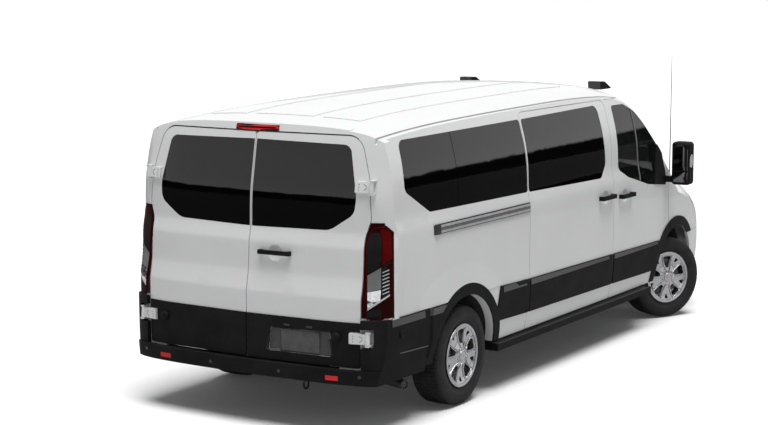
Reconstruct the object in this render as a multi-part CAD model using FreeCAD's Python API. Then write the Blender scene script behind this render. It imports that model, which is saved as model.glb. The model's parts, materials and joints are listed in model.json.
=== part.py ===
import FreeCAD, Part
import math
import os

Vec = FreeCAD.Vector

# Millimetres. +X is forward, +Y is the left-hand side, +Z is up, and the origin is on the
# ground below the middle of the vehicle. Most pieces are drawn for the right-hand side.

# Driving dimensions
length = 5981.0
skin_width = 2038.0
flare_proud = 10.2
roof_height = 2075.0
wheelbase = 3750.0
front_overhang = 1023.0
rear_overhang = length - wheelbase - front_overhang
track_front = 1732.0
track_rear = 1743.0

x_front = length / 2
x_rear = -length / 2
x_fa = x_front - front_overhang
x_ra = x_fa - wheelbase
skin_half = skin_width / 2

# Wheels and tyres
tyre_radius = 348.0
tyre_width = 235.0
bead_radius = 205.0
rim_width = 190.0
rim_wall = 11.0
cover_radius = 221.0
fit_gap = 0.3
stub_radius = 30.0

# Steering: the pins stand at kingpin_half from the middle, and the front wheels are parked
# turned to the right.
kingpin_half = 800.0
parked_turn = 27.4

# Body walls and gaps
wall = 60.0
frame_depth = 111.0
door_depth = 60.0
seal_gap = 6.0
shut_gap = 6.0
glass_inset = 3.0
glass_thick = 5.0
roof_thick = 35.0
panel_thick = 6.0
wing_gap = 9.0
flare_gap = 13.0
lift_gap = 9.0
pillar_front_x = x_fa
sill_z = 372.0
door_top_z = 1945.0
floor_z = 640.0
floor_thick = 40.0
floor_front_x = x_fa - 460.0
floor_rear_x = x_rear + 180.0
ditch_half = 870.0
ditch_width = 15.0

# Wheel arches
arch_z = 342.0
rear_arch_radius = 430.0
front_arch_radius = 450.0
flare_band = 80.0
liner_thick = 14.0
liner_clear = 10.0
rear_liner_inner = 700.0
front_liner_inner = 520.0

# Soft swelling of the skin round an arch, outside its flare
swell_radius = 640.0
swell_height = 6.0

# Doors
b_line_x = x_fa - 1362.5
c_line_x = x_fa - 2822.5
front_shut_x = x_fa - 226.5
rear_door_bottom = 450.0
rear_door_top = 1920.0
rear_glass_bottom = 1308.0
rear_glass_top = 1875.0
cladding_z = 742.0
corner_top_z = 762.0
corner_depth = 20.0
corner_proud = 30.0
corner_swing_y = -860.0
corner_front_x = x_ra - rear_arch_radius - flare_band

# Front door hinges: pins on one line ahead of the door's edge, leaning back towards the top
hinge_ahead = 100.0
hinge_lean = 0.07
hinge_inset = 24.0
hinge_pin_radius = 6.0
hinge_height = 46.0
hinge_arm_height = 28.0
hinge_arm_room = 840.0
hinge_zs = (870.0, 1080.0)
door_corner_z = 842.0
door_corner_x = x_fa - 190.0

# Rear door hinges: pins that stand proud of the corner pillars
rear_hinge_upper = (172.5, 892.0, 1606.0)
rear_hinge_lower = (105.5, 905.0, 643.0)
rear_pin_radius = 8.0
rear_knuckle_length = 70.0

# Door handles: the places of the round cups behind them, and the blank plate at the back
handle_front = (b_line_x + 215.0, 1176.0)
handle_sliding = (b_line_x - 161.0, 1200.0)
handle_rear = (-210.0, 1150.0)
handle_length = 240.0
cup_radius = 55.0
cup_depth = 18.0
plate_centre = (-412.0, 588.0)
plate_size = (300.0, 146.0)
plate_recess = 12.0
plate_thick = 2.0
plate_hole_pitch = 178.0
plate_hole_radius = 3.5

# Engine and the pads for a jack under the frame
engine_half = 300.0
jack_pad_x = x_fa - 640.0
jack_pad_half = 45.0
jack_pad_z = 488.0

# Bonnet
hood_rear_x = x_fa + 312.0
hood_pin_x = hood_rear_x - 22.0
hood_pin_z = 1232.0
hood_pin_y = 350.0
hood_pin_radius = 6.0
hood_swing_gap = 13.0
hood_swing_reach = 260.0
cowl_x = hood_rear_x - 46.0
hood_front_x = x_front - 170.0
hood_half_rear = 800.0
hood_half_front = 700.0


def box(x0, x1, y0, y1, z0, z1):
    return Part.makeBox(x1 - x0, y1 - y0, z1 - z0, Vec(x0, y0, z0))


def rod(start, end, radius):
    start = Vec(*start)
    along = Vec(*end) - start
    return Part.makeCylinder(radius, along.Length, start, along)


def fuse(*shapes):
    return shapes[0].multiFuse(list(shapes[1:])).removeSplitter()


def join(*shapes):
    """As fuse, but keeps the seams between the shapes' faces."""
    return shapes[0].multiFuse(list(shapes[1:]))


def mirrored(shape):
    return shape.mirror(Vec(0, 0, 0), Vec(0, 1, 0))


def both_sides(shape):
    return Part.makeCompound([shape, mirrored(shape)])


def spline(points):
    curve = Part.BSplineCurve()
    curve.interpolate(points)
    return curve


def swept_sheet(section, path):
    """Surface that carries the section along the path without turning it."""
    poles = [[p + q for q in path.getPoles()] for p in section.getPoles()]
    surface = Part.BSplineSurface()
    surface.buildFromPolesMultsKnots(
        poles, section.getMultiplicities(), path.getMultiplicities(),
        section.getKnots(), path.getKnots(), False, False, section.Degree, path.Degree)
    return surface.toShape()


def outline(points, radius=0.0):
    """Closed wire through the points in the XZ plane, its corners rounded.

    A third value on a point is that corner's own radius."""
    count = len(points)
    corners = []
    for i, point in enumerate(points):
        here = Vec(point[0], 0, point[1])
        before = Vec(points[i - 1][0], 0, points[i - 1][1]) - here
        after = Vec(points[(i + 1) % count][0], 0, points[(i + 1) % count][1]) - here
        bend = radius if len(point) < 3 else point[2]
        turn = before.getAngle(after)
        reach = bend / math.tan(turn / 2)
        reach = min(reach, 0.45 * before.Length, 0.45 * after.Length)
        before.normalize()
        after.normalize()
        if reach < 0.5 or turn > math.radians(176):
            corners.append((here, None, here))
            continue
        bend = reach * math.tan(turn / 2)
        middle = before + after
        middle.normalize()
        centre_distance = bend / math.sin(turn / 2)
        corners.append((here + before * reach, here + middle * (centre_distance - bend),
                        here + after * reach))
    edges = []
    for i, (start, crown, end) in enumerate(corners):
        previous_end = corners[i - 1][2]
        if (start - previous_end).Length > 0.01:
            edges.append(Part.LineSegment(previous_end, start).toShape())
        if crown is not None:
            edges.append(Part.Arc(start, crown, end).toShape())
    return Part.Wire(edges)


def grown(wire, amount):
    """The wire offset outward, or inward where the amount is negative."""
    return wire.makeOffset2D(amount) if amount else wire


def prism_y(wire, y0, y1):
    face = Part.Face(wire)
    face.translate(Vec(0, y0, 0))
    return face.extrude(Vec(0, y1 - y0, 0))


def prism_x(wire, x0, x1):
    """The wire's first coordinate becomes Y; the prism runs from x0 to x1."""
    face = Part.Face(wire)
    face.rotate(Vec(0, 0, 0), Vec(0, 0, 1), 90)
    face.translate(Vec(x0, 0, 0))
    return face.extrude(Vec(x1 - x0, 0, 0))


def prism_z(wire, z0, z1):
    """The wire's second coordinate becomes Y; the prism runs from z0 to z1."""
    face = Part.Face(wire)
    face.rotate(Vec(0, 0, 0), Vec(1, 0, 0), -90)
    face.translate(Vec(0, 0, z0))
    return face.extrude(Vec(0, 0, z1 - z0))


def arch(x, radius, y0=-1400.0, y1=1400.0):
    return Part.makeCylinder(radius, y1 - y0, Vec(x, y0, arch_z), Vec(0, 1, 0))


# Outer surfaces. Each is one section carried along a second curve, and a layer is the stretch
# between an inset below that surface and the inset plus a depth.

def side_layer(inset, depth):
    heights = [(240, 60), (407, 33), (517, 14), (720, 3), (960, 0), (1234, 0), (1310, 6),
               (1380, 19), (1470, 25), (1573, 30), (1650, 40), (1752, 60), (1840, 84),
               (1930, 111), (2030, 150), (2130, 205)]
    section = spline([Vec(0, inset + tuck - skin_half, z) for z, tuck in heights])
    stations = [(x_rear - 110, 45), (x_rear + 190, 18), (x_rear + 690, 5), (x_ra + 280, 0),
                (0, 0), (x_fa - 970, 4), (x_fa - 370, 15), (x_fa + 30, 30), (x_fa + 430, 62),
                (x_fa + 780, 125), (x_front + 110, 230)]
    path = spline([Vec(x, taper, 0) for x, taper in stations])
    return swept_sheet(section, path).extrude(Vec(0, depth, 0))


def side_skin_y(x, z):
    """Y of the right-hand skin at a place."""
    probe = Part.makeLine(Vec(x, -skin_half - 60, z), Vec(x, 0, z))
    hits = side_layer(0, wall).common(probe)
    return hits.BoundBox.YMin


def roof_layer(inset, depth):
    rise = [(x_rear - 60, -145), (x_rear + 190, -103), (x_rear + 690, -53), (x_ra + 280, -20),
            (x_fa - 2470, -3), (x_fa - 1670, 0), (x_fa - 1170, -17), (x_fa - 850, -57),
            (x_fa - 620, -140), (x_fa - 370, -303), (x_fa - 90, -535), (x_fa + 200, -800),
            (x_fa + 530, -1120), (x_fa + 930, -1515)]
    section = spline([Vec(x, 0, roof_height + z - inset) for x, z in rise])
    crown = [(0, 0, 0), (300, 10, 5), (600, 50, 24), (750, 95, 48), (850, 135, 78),
             (900, 158, 102), (960, 190, 140), (1080, 270, 230)]
    path = spline(symmetric(crown))
    return swept_sheet(section, path).extrude(Vec(0, 0, -depth))


def nose_layer(inset, depth):
    profile = [(x_fa - 220, 1370), (x_fa + 80, 1312), (x_fa + 280, 1268), (x_fa + 530, 1200),
               (x_front - 290, 1118), (x_front - 140, 1018), (x_front - 60, 915),
               (x_front - 25, 800), (x_front - 6, 620), (x_front - 1, 480), (x_front - 10, 360),
               (x_front - 40, 220)]
    section = spline([Vec(x - inset, 0, z - inset) for x, z in profile])
    plan = [(0, 0, 0), (400, 35, 6), (650, 110, 24), (820, 225, 55), (930, 370, 90),
            (1010, 560, 140), (1080, 800, 210)]
    path = spline(symmetric(plan))
    return swept_sheet(section, path).extrude(Vec(-depth, 0, -depth))


def rear_layer(inset, depth):
    profile = [(300, 62), (480, 54), (620, 52), (742, 51), (860, 51.5), (892, 53), (912, 57),
               (1000, 74), (1024, 78), (1050, 80), (1190, 87), (1214, 89), (1238, 94), (1285, 106),
               (1306, 110), (1330, 111.5), (1420, 114), (1522, 119), (1600, 129), (1671, 142),
               (1780, 161), (1878, 180), (1925, 191), (1965, 202), (2130, 262)]
    section = spline([Vec(x_rear + lean + inset, 0, z) for z, lean in profile])
    bow = [(0, 0, 0), (420, 15, 0), (840, 60, 0), (930, 92, 0), (1000, 150, 0), (1045, 230, 0),
           (1080, 330, 0)]
    path = spline([Vec(-p.x, p.y, 0) for p in symmetric(bow)])
    return swept_sheet(section, path).extrude(Vec(depth, 0, 0))


def rear_skin_x(y, z):
    probe = Part.makeLine(Vec(x_rear - 60, y, z), Vec(x_rear + 500, y, z))
    return rear_layer(0, wall).common(probe).BoundBox.XMin


def symmetric(half):
    """Path points over the full width from (y, set-back, drop) on one side."""
    left = [Vec(-back, y, -drop) for y, back, drop in half]
    right = [Vec(p.x, -p.y, p.z) for p in reversed(left[1:])]
    return right + left


deep = 2400.0
envelope = roof_layer(0, deep).fuse(nose_layer(0, deep * 1.2)).common(rear_layer(0, 2 * deep * 1.4))

# Outlines in side view, given as X and Z

front_door_outline = outline([
    (b_line_x + seal_gap / 2, sill_z), (b_line_x + seal_gap / 2, door_top_z, 50),
    (x_fa - 1000, door_top_z - 6, 260), (x_fa - 800, 1868, 200), (x_fa - 330, 1510, 120),
    (x_fa - 262, 1360, 120), (front_shut_x, 1163, 200), (door_corner_x, door_corner_z),
    (x_fa - 170, 740),
    (x_fa - 170, sill_z)], 20)
sliding_door_outline = outline([
    (c_line_x, sill_z), (c_line_x, door_top_z, 60),
    (b_line_x - seal_gap / 2, door_top_z, 50), (b_line_x - seal_gap / 2, sill_z)], 20)
front_window_outline = outline([
    (x_fa - 1239, 1895, 30), (x_fa - 1000, 1893, 150), (x_fa - 820, 1825, 150),
    (x_fa - 330, 1440, 60), (x_fa - 285, 1172, 30), (x_fa - 673, 1216, 200),
    (x_fa - 1070, 1313, 120), (x_fa - 1242, 1390, 60)], 40)
middle_window_outline = outline([
    (c_line_x + 23, 1898), (b_line_x - 141, 1916, 70), (b_line_x - 113, 1447, 90),
    (b_line_x - 200, 1352, 70), (c_line_x + 13, 1377)], 25)
quarter_window_outline = outline([
    (x_ra - 757, 1884, 60), (c_line_x - 9, 1900), (c_line_x - 2, 1378), (x_ra - 470, 1395, 60),
    (x_ra - 778, 1560, 60)], 25)
quarter_split_x = x_ra - 88

# Outlines from behind, given as Y and Z for the right-hand door

rear_door_outline = outline([
    (-seal_gap / 2, rear_door_bottom), (-seal_gap / 2, rear_door_top),
    (-780, rear_door_top, 120), (-858, 1655, 300), (-882, 1400, 120), (-847, 1290, 120),
    (-845, rear_door_bottom)], 20)
rear_window_outline = outline([
    (-seal_gap / 2 - 5, rear_glass_top, 6), (-715, rear_glass_top - 10, 60), (-782, 1540, 200),
    (-772, 1430, 90), (-600, 1318, 150),
    (-seal_gap / 2 - 5, rear_glass_bottom, 6)], 30)
rear_window_hole = outline([
    (-70, rear_glass_top - 30), (-690, rear_glass_top - 38, 50), (-750, 1540, 200),
    (-740, 1440, 80), (-590, 1350, 120), (-70, rear_glass_bottom + 32)], 30)
windscreen_outline = outline([
    (-915, 1318, 60), (-862, 1880, 90), (-500, 1925, 300), (500, 1925, 300), (862, 1880, 90),
    (915, 1318, 60)], 60)


def door_zone(wire, depth):
    """Room for a door in the wall: the door's outline and the shut gap round it."""
    return prism_y(grown(wire, shut_gap), -1400, 0).common(side_layer(-40, depth + 40))


def inner_space(sliding):
    """Everything inboard of the right-hand wall and its door frames, less the fit gap."""
    step = (c_line_x - 45 if sliding else b_line_x - 60) - fit_gap
    rear = side_layer(wall + fit_gap, deep).common(box(x_rear, step, -1400, 1400, 0, 2300))
    front = side_layer(frame_depth + fit_gap, deep).common(box(step, x_front, -1400, 1400, 0, 2300))
    return rear.fuse(front)


def body_side(sliding):
    """Side wall with its pillars, cant rail, sill and window holes, as the right-hand side."""
    thick = side_layer(0, frame_depth)
    thick = thick.common(box(c_line_x - 45, pillar_front_x, -1400, 0, 0, 2300))
    thin = side_layer(0, wall).common(box(x_rear, c_line_x, -1400, 0, 0, 2300))
    if not sliding:
        thick = thick.common(box(b_line_x - 60, pillar_front_x, -1400, 0, 0, 2300))
        thin = side_layer(0, wall).common(box(x_rear, b_line_x, -1400, 0, 0, 2300))
    corner = rear_layer(0, wall).common(box(x_rear, x_rear + 600, -1400, -700, 0, 1930))
    side = thick.fuse(thin).fuse(corner).common(envelope)
    side = side.fuse(swelling())
    side = side.common(side_layer(-20, deep)).common(box(x_rear, x_front, -1400, 0, sill_z, 2300))
    side = side.cut(roof_layer(-60, roof_thick + 60).common(
        box(x_rear, x_front, -ditch_half - ditch_width, 0, 0, 2300)))
    aperture = grown(front_door_outline, -45)
    side = side.cut(prism_y(aperture, -1400, 0))
    side = side.cut(door_zone(front_door_outline, door_depth + seal_gap))
    if sliding:
        side = side.cut(prism_y(grown(sliding_door_outline, -45), -1400, 0))
        side = side.cut(door_zone(sliding_door_outline, door_depth + seal_gap))
    else:
        side = side.cut(prism_y(grown(middle_window_outline, fit_gap), -1400, 0))
    side = side.cut(prism_y(grown(quarter_window_outline, fit_gap), -1400, 0))
    side = side.cut(prism_x(grown(rear_door_outline, shut_gap), x_rear - 50, x_rear + 400))
    side = side.cut(arch(x_ra, rear_arch_radius))
    side = side.cut(arch(x_fa, front_arch_radius + 16))
    # Room for the front wing, the windscreen and the hinge arms
    side = side.cut(side_layer(-60, panel_thick + 60 + fit_gap).common(
        box(front_shut_x - 100, x_front, -1400, 0, 0, 1320)))
    side = side.cut(windscreen_zone())
    for z in hinge_zs:
        x_pin = hinge_axis_point(z).x
        side = side.cut(box(x_pin - 160, x_pin + 26, -1400, -800, z - 42, z + 42))
    return side.cut(bumper_corner(fit_gap))


def cup(centre, outward):
    """Ball whose cut leaves a round cup behind a handle."""
    ball = (cup_radius ** 2 + cup_depth ** 2) / (2 * cup_depth)
    return Part.makeSphere(ball, centre + outward * (ball - cup_depth))


def side_cup(place):
    return cup(Vec(place[0], side_skin_y(*place), place[1]), Vec(0, -1, 0))


def handle_bar(place):
    """Door handle on the side: a bar that stands off the skin on two feet."""
    x, z = place
    half = handle_length / 2
    bar = side_layer(-45, 20).common(box(x - half, x + half, -1400, 0, z - 16, z + 16))
    feet = box(x - half, x - half + 24, -1400, 0, z - 16, z + 16).fuse(
        box(x + half - 24, x + half, -1400, 0, z - 16, z + 16))
    return bar.fuse(feet.common(side_layer(-30, 30 - fit_gap))).removeSplitter()


def swelling():
    """Shallow cone round the rear arch, from the flare's outer edge until it meets the skin."""
    inner = rear_arch_radius + flare_band + fit_gap
    slope = (swell_radius - inner) / swell_height
    sunk = 7.0
    cone = Part.makeCone(swell_radius + slope * sunk, inner, sunk + swell_height,
                         Vec(x_ra, sunk - skin_half, arch_z), Vec(0, -1, 0))
    cone = cone.common(box(x_ra - 900, x_ra + 900, -1400, 0, cladding_z + 24, 1200))
    return cone.cut(arch(x_ra, inner)).common(side_layer(-20, 24))


def windscreen_zone():
    return prism_x(grown(windscreen_outline, fit_gap), x_fa - 1050, x_fa + 430).common(
        roof_layer(-300, 300 + glass_inset + glass_thick + 2 * fit_gap + 4))


def roof_panel():
    """Roof skin with its header, between the two drip channels."""
    roof = roof_layer(0, roof_thick).common(box(x_rear, x_fa, -ditch_half, ditch_half, 1700, 2300))
    header = rear_layer(0, wall).common(
        box(x_rear, x_rear + 400, -690, 690, rear_door_top + lift_gap, 2300))
    for y0, y1 in ((-600, -310), (-230, 230), (310, 600)):
        field = roof_layer(-4, 12).common(box(x_ra - 700, x_fa - 1500, y0, y1, 1700, 2300))
        roof = roof.fuse(field)
    roof = roof.fuse(header).common(rear_layer(0, 2 * deep * 1.4)).common(roof_layer(-4, deep))
    roof = roof.cut(windscreen_zone()).cut(stop_lamp(fit_gap))
    rear_room = prism_x(grown(rear_door_outline, lift_gap), x_rear - 60, x_rear + 400)
    roof = roof.cut(rear_room).cut(mirrored(rear_room))
    for wire in (front_door_outline, sliding_door_outline):
        zone = door_zone(wire, door_depth + seal_gap)
        roof = roof.cut(zone).cut(mirrored(zone))
    return roof.cut(prism_x(outline([(-2000, 1700), (-2000, 1850), (2000, 1850), (2000, 1700)]),
                            700, x_fa))


def floor_pan():
    """Floor with the rear wheel boxes, the side rockers and the rear sill."""
    half = skin_half
    floor = box(floor_rear_x, floor_front_x, -half, half, floor_z - floor_thick, floor_z)
    rocker = box(c_line_x - 40, floor_front_x, -half, 90 + frame_depth - half, 430, floor_z)
    sill = box(floor_rear_x, floor_rear_x + 80, -790, 790, 470, floor_z)
    outer = arch(x_ra, rear_arch_radius + liner_clear + liner_thick, -half, -rear_liner_inner)
    inner = arch(x_ra, rear_arch_radius + liner_clear, -half - 1, -rear_liner_inner - liner_thick)
    outer = outer.common(box(x_ra - 600, x_ra + 600, -1400, 0, 400, 1000))
    floor = fuse(floor, rocker, mirrored(rocker), sill, outer, mirrored(outer))
    floor = floor.cut(inner).cut(mirrored(inner))
    pillar = rear_layer(0, wall + fit_gap).common(
        box(x_rear, x_rear + 600, -1400, -700 + fit_gap, sill_z, floor_z + 1))
    floor = floor.cut(pillar).cut(mirrored(pillar))
    return floor.common(inner_space(True)).common(mirrored(inner_space(False)))


def bulkhead():
    """Dash wall, cowl, bonnet pins and the front wheel boxes."""
    half = skin_half
    wall_x = x_fa - 160
    plate = box(wall_x, wall_x + 14, -half, half, 600, 1400).common(nose_layer(10, 1200))
    toe = box(floor_front_x, wall_x, -half, half, 600, 614)
    cowl = nose_layer(8, 16).common(box(wall_x, cowl_x, -790, 790, 1000, 1400))
    radius = front_arch_radius + liner_clear
    outer = arch(x_fa, radius + liner_thick, -half, -front_liner_inner)
    outer = outer.common(box(x_fa - 600, x_fa + 600, -1400, 0, 520, 1000))
    inner = arch(x_fa, radius, -half - 1, -front_liner_inner - liner_thick)
    solid = fuse(plate, toe, cowl, outer, mirrored(outer))
    solid = solid.cut(inner).cut(mirrored(inner)).cut(windscreen_zone())
    solid = solid.common(inner_space(True)).common(mirrored(inner_space(False)))
    for z in hinge_zs:
        arm_room = box(wall_x - 60, wall_x + 80, -half, -hinge_arm_room, z - 26, z + 26)
        solid = solid.cut(arm_room).cut(mirrored(arm_room))
    pins = [hood_pin_rod(hood_pin_radius, 56)]
    for y in (-hood_pin_y - 28, -hood_pin_y + 19.3):
        pins.append(box(cowl_x - 30, hood_pin_x + 10, y, y + 8.7, hood_pin_z - 22, hood_pin_z + 12))
    return fuse(solid, *pins, *[mirrored(piece) for piece in pins])


def hood_pin_rod(radius, width):
    start = Vec(hood_pin_x, -hood_pin_y - width / 2, hood_pin_z)
    return Part.makeCylinder(radius, width, start, Vec(0, 1, 0))


def hood_zone(gap):
    corners = [(hood_rear_x - gap, hood_half_rear + gap), (hood_front_x + gap, hood_half_front + gap),
               (hood_front_x + gap, -hood_half_front - gap), (hood_rear_x - gap, -hood_half_rear - gap)]
    return prism_z(outline(corners), 800, 1400)


def hood():
    """Bonnet, hinged along its rear edge."""
    panel = nose_layer(0, 18).common(hood_zone(0))
    for cutter in (headlamp_zone(seal_gap), mirrored(headlamp_zone(seal_gap)),
                   prism_x(grown(grille_outline(), seal_gap), x_front - 400, x_front + 20)):
        panel = panel.cut(cutter)
    arm = box(hood_pin_x, hood_pin_x + 90, -hood_pin_y - 15, -hood_pin_y + 15, hood_pin_z - 28,
              hood_pin_z + 4).common(nose_layer(12, 600))
    lug = hood_pin_rod(hood_pin_radius + 5, 30).fuse(arm).cut(hood_pin_rod(hood_pin_radius + fit_gap, 60))
    return fuse(panel, lug, mirrored(lug))


def headlamp_zone(gap):
    wire = outline([(x_front - 90, 770, 60), (x_front - 130, 690, 40), (x_front - 420, 700, 120),
                    (x_front - 660, 985, 40), (x_front - 560, 1050, 60),
                    (x_front - 230, 985, 120)], 40)
    return prism_y(grown(wire, gap), -1400, -500 + gap)


def grille_outline():
    return outline([(-485, 985, 30), (485, 985, 30), (430, 625, 50), (-430, 625, 50)], 30)


def fender():
    """Right-hand front wing, with the lamp and wheel openings."""
    skin = side_layer(0, panel_thick).common(envelope)
    top = nose_layer(0, panel_thick).common(side_layer(0, deep)).common(mirrored(side_layer(0, deep)))
    skin = skin.common(box(front_shut_x - 100, x_front, -1400, -300, 640, 1320))
    top = top.common(box(pillar_front_x + fit_gap, x_front, -1400, -300, 640, 1320))
    wing = skin.fuse(top).cut(hood_zone(seal_gap))
    wing = wing.cut(box(0, hood_rear_x, -hood_half_rear - seal_gap, 0, 0, 1320))
    wing = wing.cut(box(hood_rear_x, x_front, -hood_half_front, 0, 0, 1320))
    wing = wing.cut(hood_zone(hood_swing_gap).common(
        box(hood_rear_x, hood_rear_x + hood_swing_reach, -1400, 0, 0, 1400)))
    wing = wing.cut(prism_y(grown(front_door_outline, wing_gap), -1400, 0))
    wing = wing.cut(arch(x_fa, front_arch_radius))
    wing = wing.cut(headlamp_zone(fit_gap))
    wing = wing.cut(box(x_fa, x_front, -1400, 0, 0, 700))
    wing = wing.cut(prism_x(grown(grille_outline(), fit_gap), x_front - 400, x_front + 20))
    return wing


def nose_region(z0, z1):
    reach = box(x_fa + 200, x_front + 20, -1400, 1400, z0, z1)
    return reach.common(side_layer(0, deep)).common(mirrored(side_layer(0, deep)))


def front_bumper():
    """Bumper skin with a low air intake."""
    shell = nose_layer(0, 22).fuse(side_layer(0, 22)).fuse(mirrored(side_layer(0, 22)))
    shell = shell.common(nose_region(250, 696)).common(nose_layer(0, deep))
    shell = shell.cut(prism_x(grown(grille_outline(), fit_gap), x_front - 400, x_front + 20))
    shell = shell.cut(prism_x(outline([(-520, 540, 40), (520, 540, 40), (470, 360, 40), (-470, 360, 40)]),
                              x_front - 400, x_front + 20))
    shell = shell.cut(arch(x_fa, front_arch_radius + 8))
    shell = shell.cut(headlamp_zone(fit_gap)).cut(mirrored(headlamp_zone(fit_gap)))
    stays = []
    for y in (-500, -200, 200, 500):
        stay = box(x_front - 120 + fit_gap, x_front, y - 30, y + 30, 560, 600)
        stays.append(stay.common(nose_layer(10, deep)))
    return join(shell, *stays)


def grille():
    """Grille frame with upright vanes behind three bars."""
    zone = prism_x(grille_outline(), x_front - 400, x_front + 20)
    frame = zone.cut(prism_x(grown(grille_outline(), -22), x_front - 420, x_front + 40))
    frame = frame.common(nose_layer(4, 40))
    parts = [frame]
    for z in (690, 780, 870):
        bar = prism_x(outline([(-600, z), (600, z), (600, z + 34), (-600, z + 34)]), 0, x_front + 20)
        parts.append(bar.common(zone).common(nose_layer(6, 26)))
    for i in range(-9, 10):
        vane = box(x_front - 300, x_front + 10, i * 46 - 3, i * 46 + 3, 600, 1000)
        parts.append(vane.common(zone).common(nose_layer(34, 14)))
    return fuse(*parts)


def headlamp():
    lens = nose_layer(0, 90).common(headlamp_zone(0)).common(side_layer(0, deep))
    return lens.common(mirrored(side_layer(0, deep)))


def windscreen():
    return roof_layer(glass_inset, glass_thick).common(
        prism_x(windscreen_outline, x_fa - 1050, x_fa + 430))


def side_pane(wire):
    return prism_y(wire, -1400, 0).common(side_layer(glass_inset, glass_thick))


def side_windows():
    """Fixed glass: the quarter lights in two panes each, and the long light of each side."""
    quarter = side_pane(quarter_window_outline)
    split = box(quarter_split_x - 3, quarter_split_x + 3, -1400, 0, 0, 2300)
    quarter = quarter.cut(split)
    middle = side_pane(middle_window_outline)
    panes = quarter.Solids + [middle] + mirrored(quarter).Solids + [mirrored(middle)]
    return Part.makeCompound(panes)


def sliding_door():
    """Sliding door with its window hole and the arm that hangs it in the rail."""
    door = prism_y(sliding_door_outline, -1400, 0).common(side_layer(0, door_depth))
    door = door.cut(prism_y(grown(middle_window_outline, fit_gap), -1400, 0))
    blocks = []
    for x in (c_line_x + 8, b_line_x - 38):
        for z in (700, 1450):
            blocks.append(side_layer(door_depth - 2, seal_gap + 2 - fit_gap).common(
                box(x, x + 30, -1400, 0, z, z + 60)))
    return fuse(door.common(envelope).cut(side_cup(handle_sliding)), *blocks)


def hinge_axis_point(z):
    """Where the front door's hinge line crosses a height."""
    foot = door_corner_x + hinge_ahead
    return Vec(foot - hinge_lean * (z - door_corner_z), side_skin_y(foot, 1000) + hinge_inset, z)


def door_edge_x(z):
    """The front door's leading edge between its corner and the waist."""
    share = (z - door_corner_z) / (1163 - door_corner_z)
    return door_corner_x + share * (front_shut_x - door_corner_x)


def hinge_rod(z, radius, height):
    """Cylinder on the front door's hinge line, centred at a height."""
    along = Vec(-hinge_lean, 0, 1)
    along.normalize()
    return Part.makeCylinder(radius, height, hinge_axis_point(z) - along * (height / 2), along)


def front_door():
    """Front door shell with its window hole and the gooseneck arms of its hinges."""
    door = prism_y(front_door_outline, -1400, 0).common(side_layer(0, door_depth))
    door = door.cut(prism_y(grown(front_window_outline, fit_gap), -1400, 0))
    door = door.cut(arch(x_fa, front_arch_radius + 3)).common(envelope).cut(side_cup(handle_front))
    lugs = []
    for z in hinge_zs:
        low = z - hinge_arm_height / 2
        axis = hinge_axis_point(z)
        reach = axis.x - door_edge_x(z)
        bow = reach + 12
        inner = axis.y + 0.966 * bow
        arm = prism_z(outline([
            (axis.x + 5, axis.y + 2), (axis.x - 0.26 * bow + 5, inner + 5), (axis.x - reach - 36, inner + 5),
            (axis.x - reach - 36, axis.y + 20), (axis.x - reach - 24, axis.y + 20),
            (axis.x - reach - 24, inner - 5), (axis.x - 0.26 * bow - 3, inner - 5),
            (axis.x - 5, axis.y)]), low, low + hinge_arm_height)
        eye = hinge_rod(z, hinge_pin_radius + 4, hinge_height)
        lugs.append(eye.fuse(arm).cut(hinge_rod(z, hinge_pin_radius + fit_gap, 4 * hinge_height)))
    return fuse(door, *lugs)


def rear_door(right):
    """Rear door shell with its window hole and hinge straps; the right-hand one has the recess
    for the plate and the cup of the handle."""
    door = rear_layer(0, 50).common(prism_x(rear_door_outline, x_rear - 20, x_rear + 400))
    rebate = prism_x(grown(rear_window_outline, fit_gap), x_rear - 20, x_rear + 400)
    door = door.cut(rebate.common(rear_layer(-5, 5 + glass_inset + glass_thick + fit_gap)))
    door = door.cut(prism_x(rear_window_hole, x_rear - 20, x_rear + 400))
    if right:
        recess = prism_x(plate_outline(), x_rear - 60, x_rear + 300)
        door = door.cut(recess.common(rear_layer(-2, 2 + plate_recess))).cut(plate_bolts())
        y, z = handle_rear
        door = door.cut(cup(Vec(rear_skin_x(y, z), y, z), Vec(-1, 0, 0)))
    upper, lower = rear_hinge_points()
    along = upper - lower
    along.normalize()
    for centre in (upper, lower):
        start = centre - along * (rear_knuckle_length / 2)
        eye = Part.makeCylinder(rear_pin_radius + 7, rear_knuckle_length, start, along)
        bore = Part.makeCylinder(rear_pin_radius + fit_gap, rear_knuckle_length + 4, start - along * 2, along)
        strap = rear_layer(-22, 16).common(
            box(x_rear - 100, x_rear + 300, centre.y, -780, centre.z - 34, centre.z + 34))
        foot = rear_layer(-22, 26).common(
            box(x_rear - 100, x_rear + 300, -838, -780, centre.z - 34, centre.z + 34))
        door = join(door, strap, foot, eye).cut(bore)
    return door


def plate_outline():
    """Recess for the number plate, wider at its foot."""
    y, z = plate_centre
    return outline([(y + 220, z + 80), (y - 220, z + 80), (y - 238, z - 80), (y + 238, z - 80)], 18)


def plate_bolts():
    y, z = plate_centre
    holes = [Part.makeCylinder(plate_hole_radius, 400, Vec(x_rear - 50, y + side * plate_hole_pitch / 2, z + 56),
                               Vec(1, 0, 0)) for side in (-1, 1)]
    return holes[0].fuse(holes[1]).common(rear_layer(-2, plate_recess + 12))


def number_plate():
    """Blank plate, bolted in the recess of the right-hand rear door."""
    y, z = plate_centre
    wide, high = plate_size
    wire = outline([(y - wide / 2, z - high / 2), (y - wide / 2, z + high / 2),
                    (y + wide / 2, z + high / 2), (y + wide / 2, z - high / 2)], 10)
    depth = plate_recess - 3 - plate_thick - 2 * fit_gap
    plate = prism_x(wire, x_rear - 60, x_rear + 300).common(rear_layer(depth, plate_thick))
    return plate.cut(plate_bolts())


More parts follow.
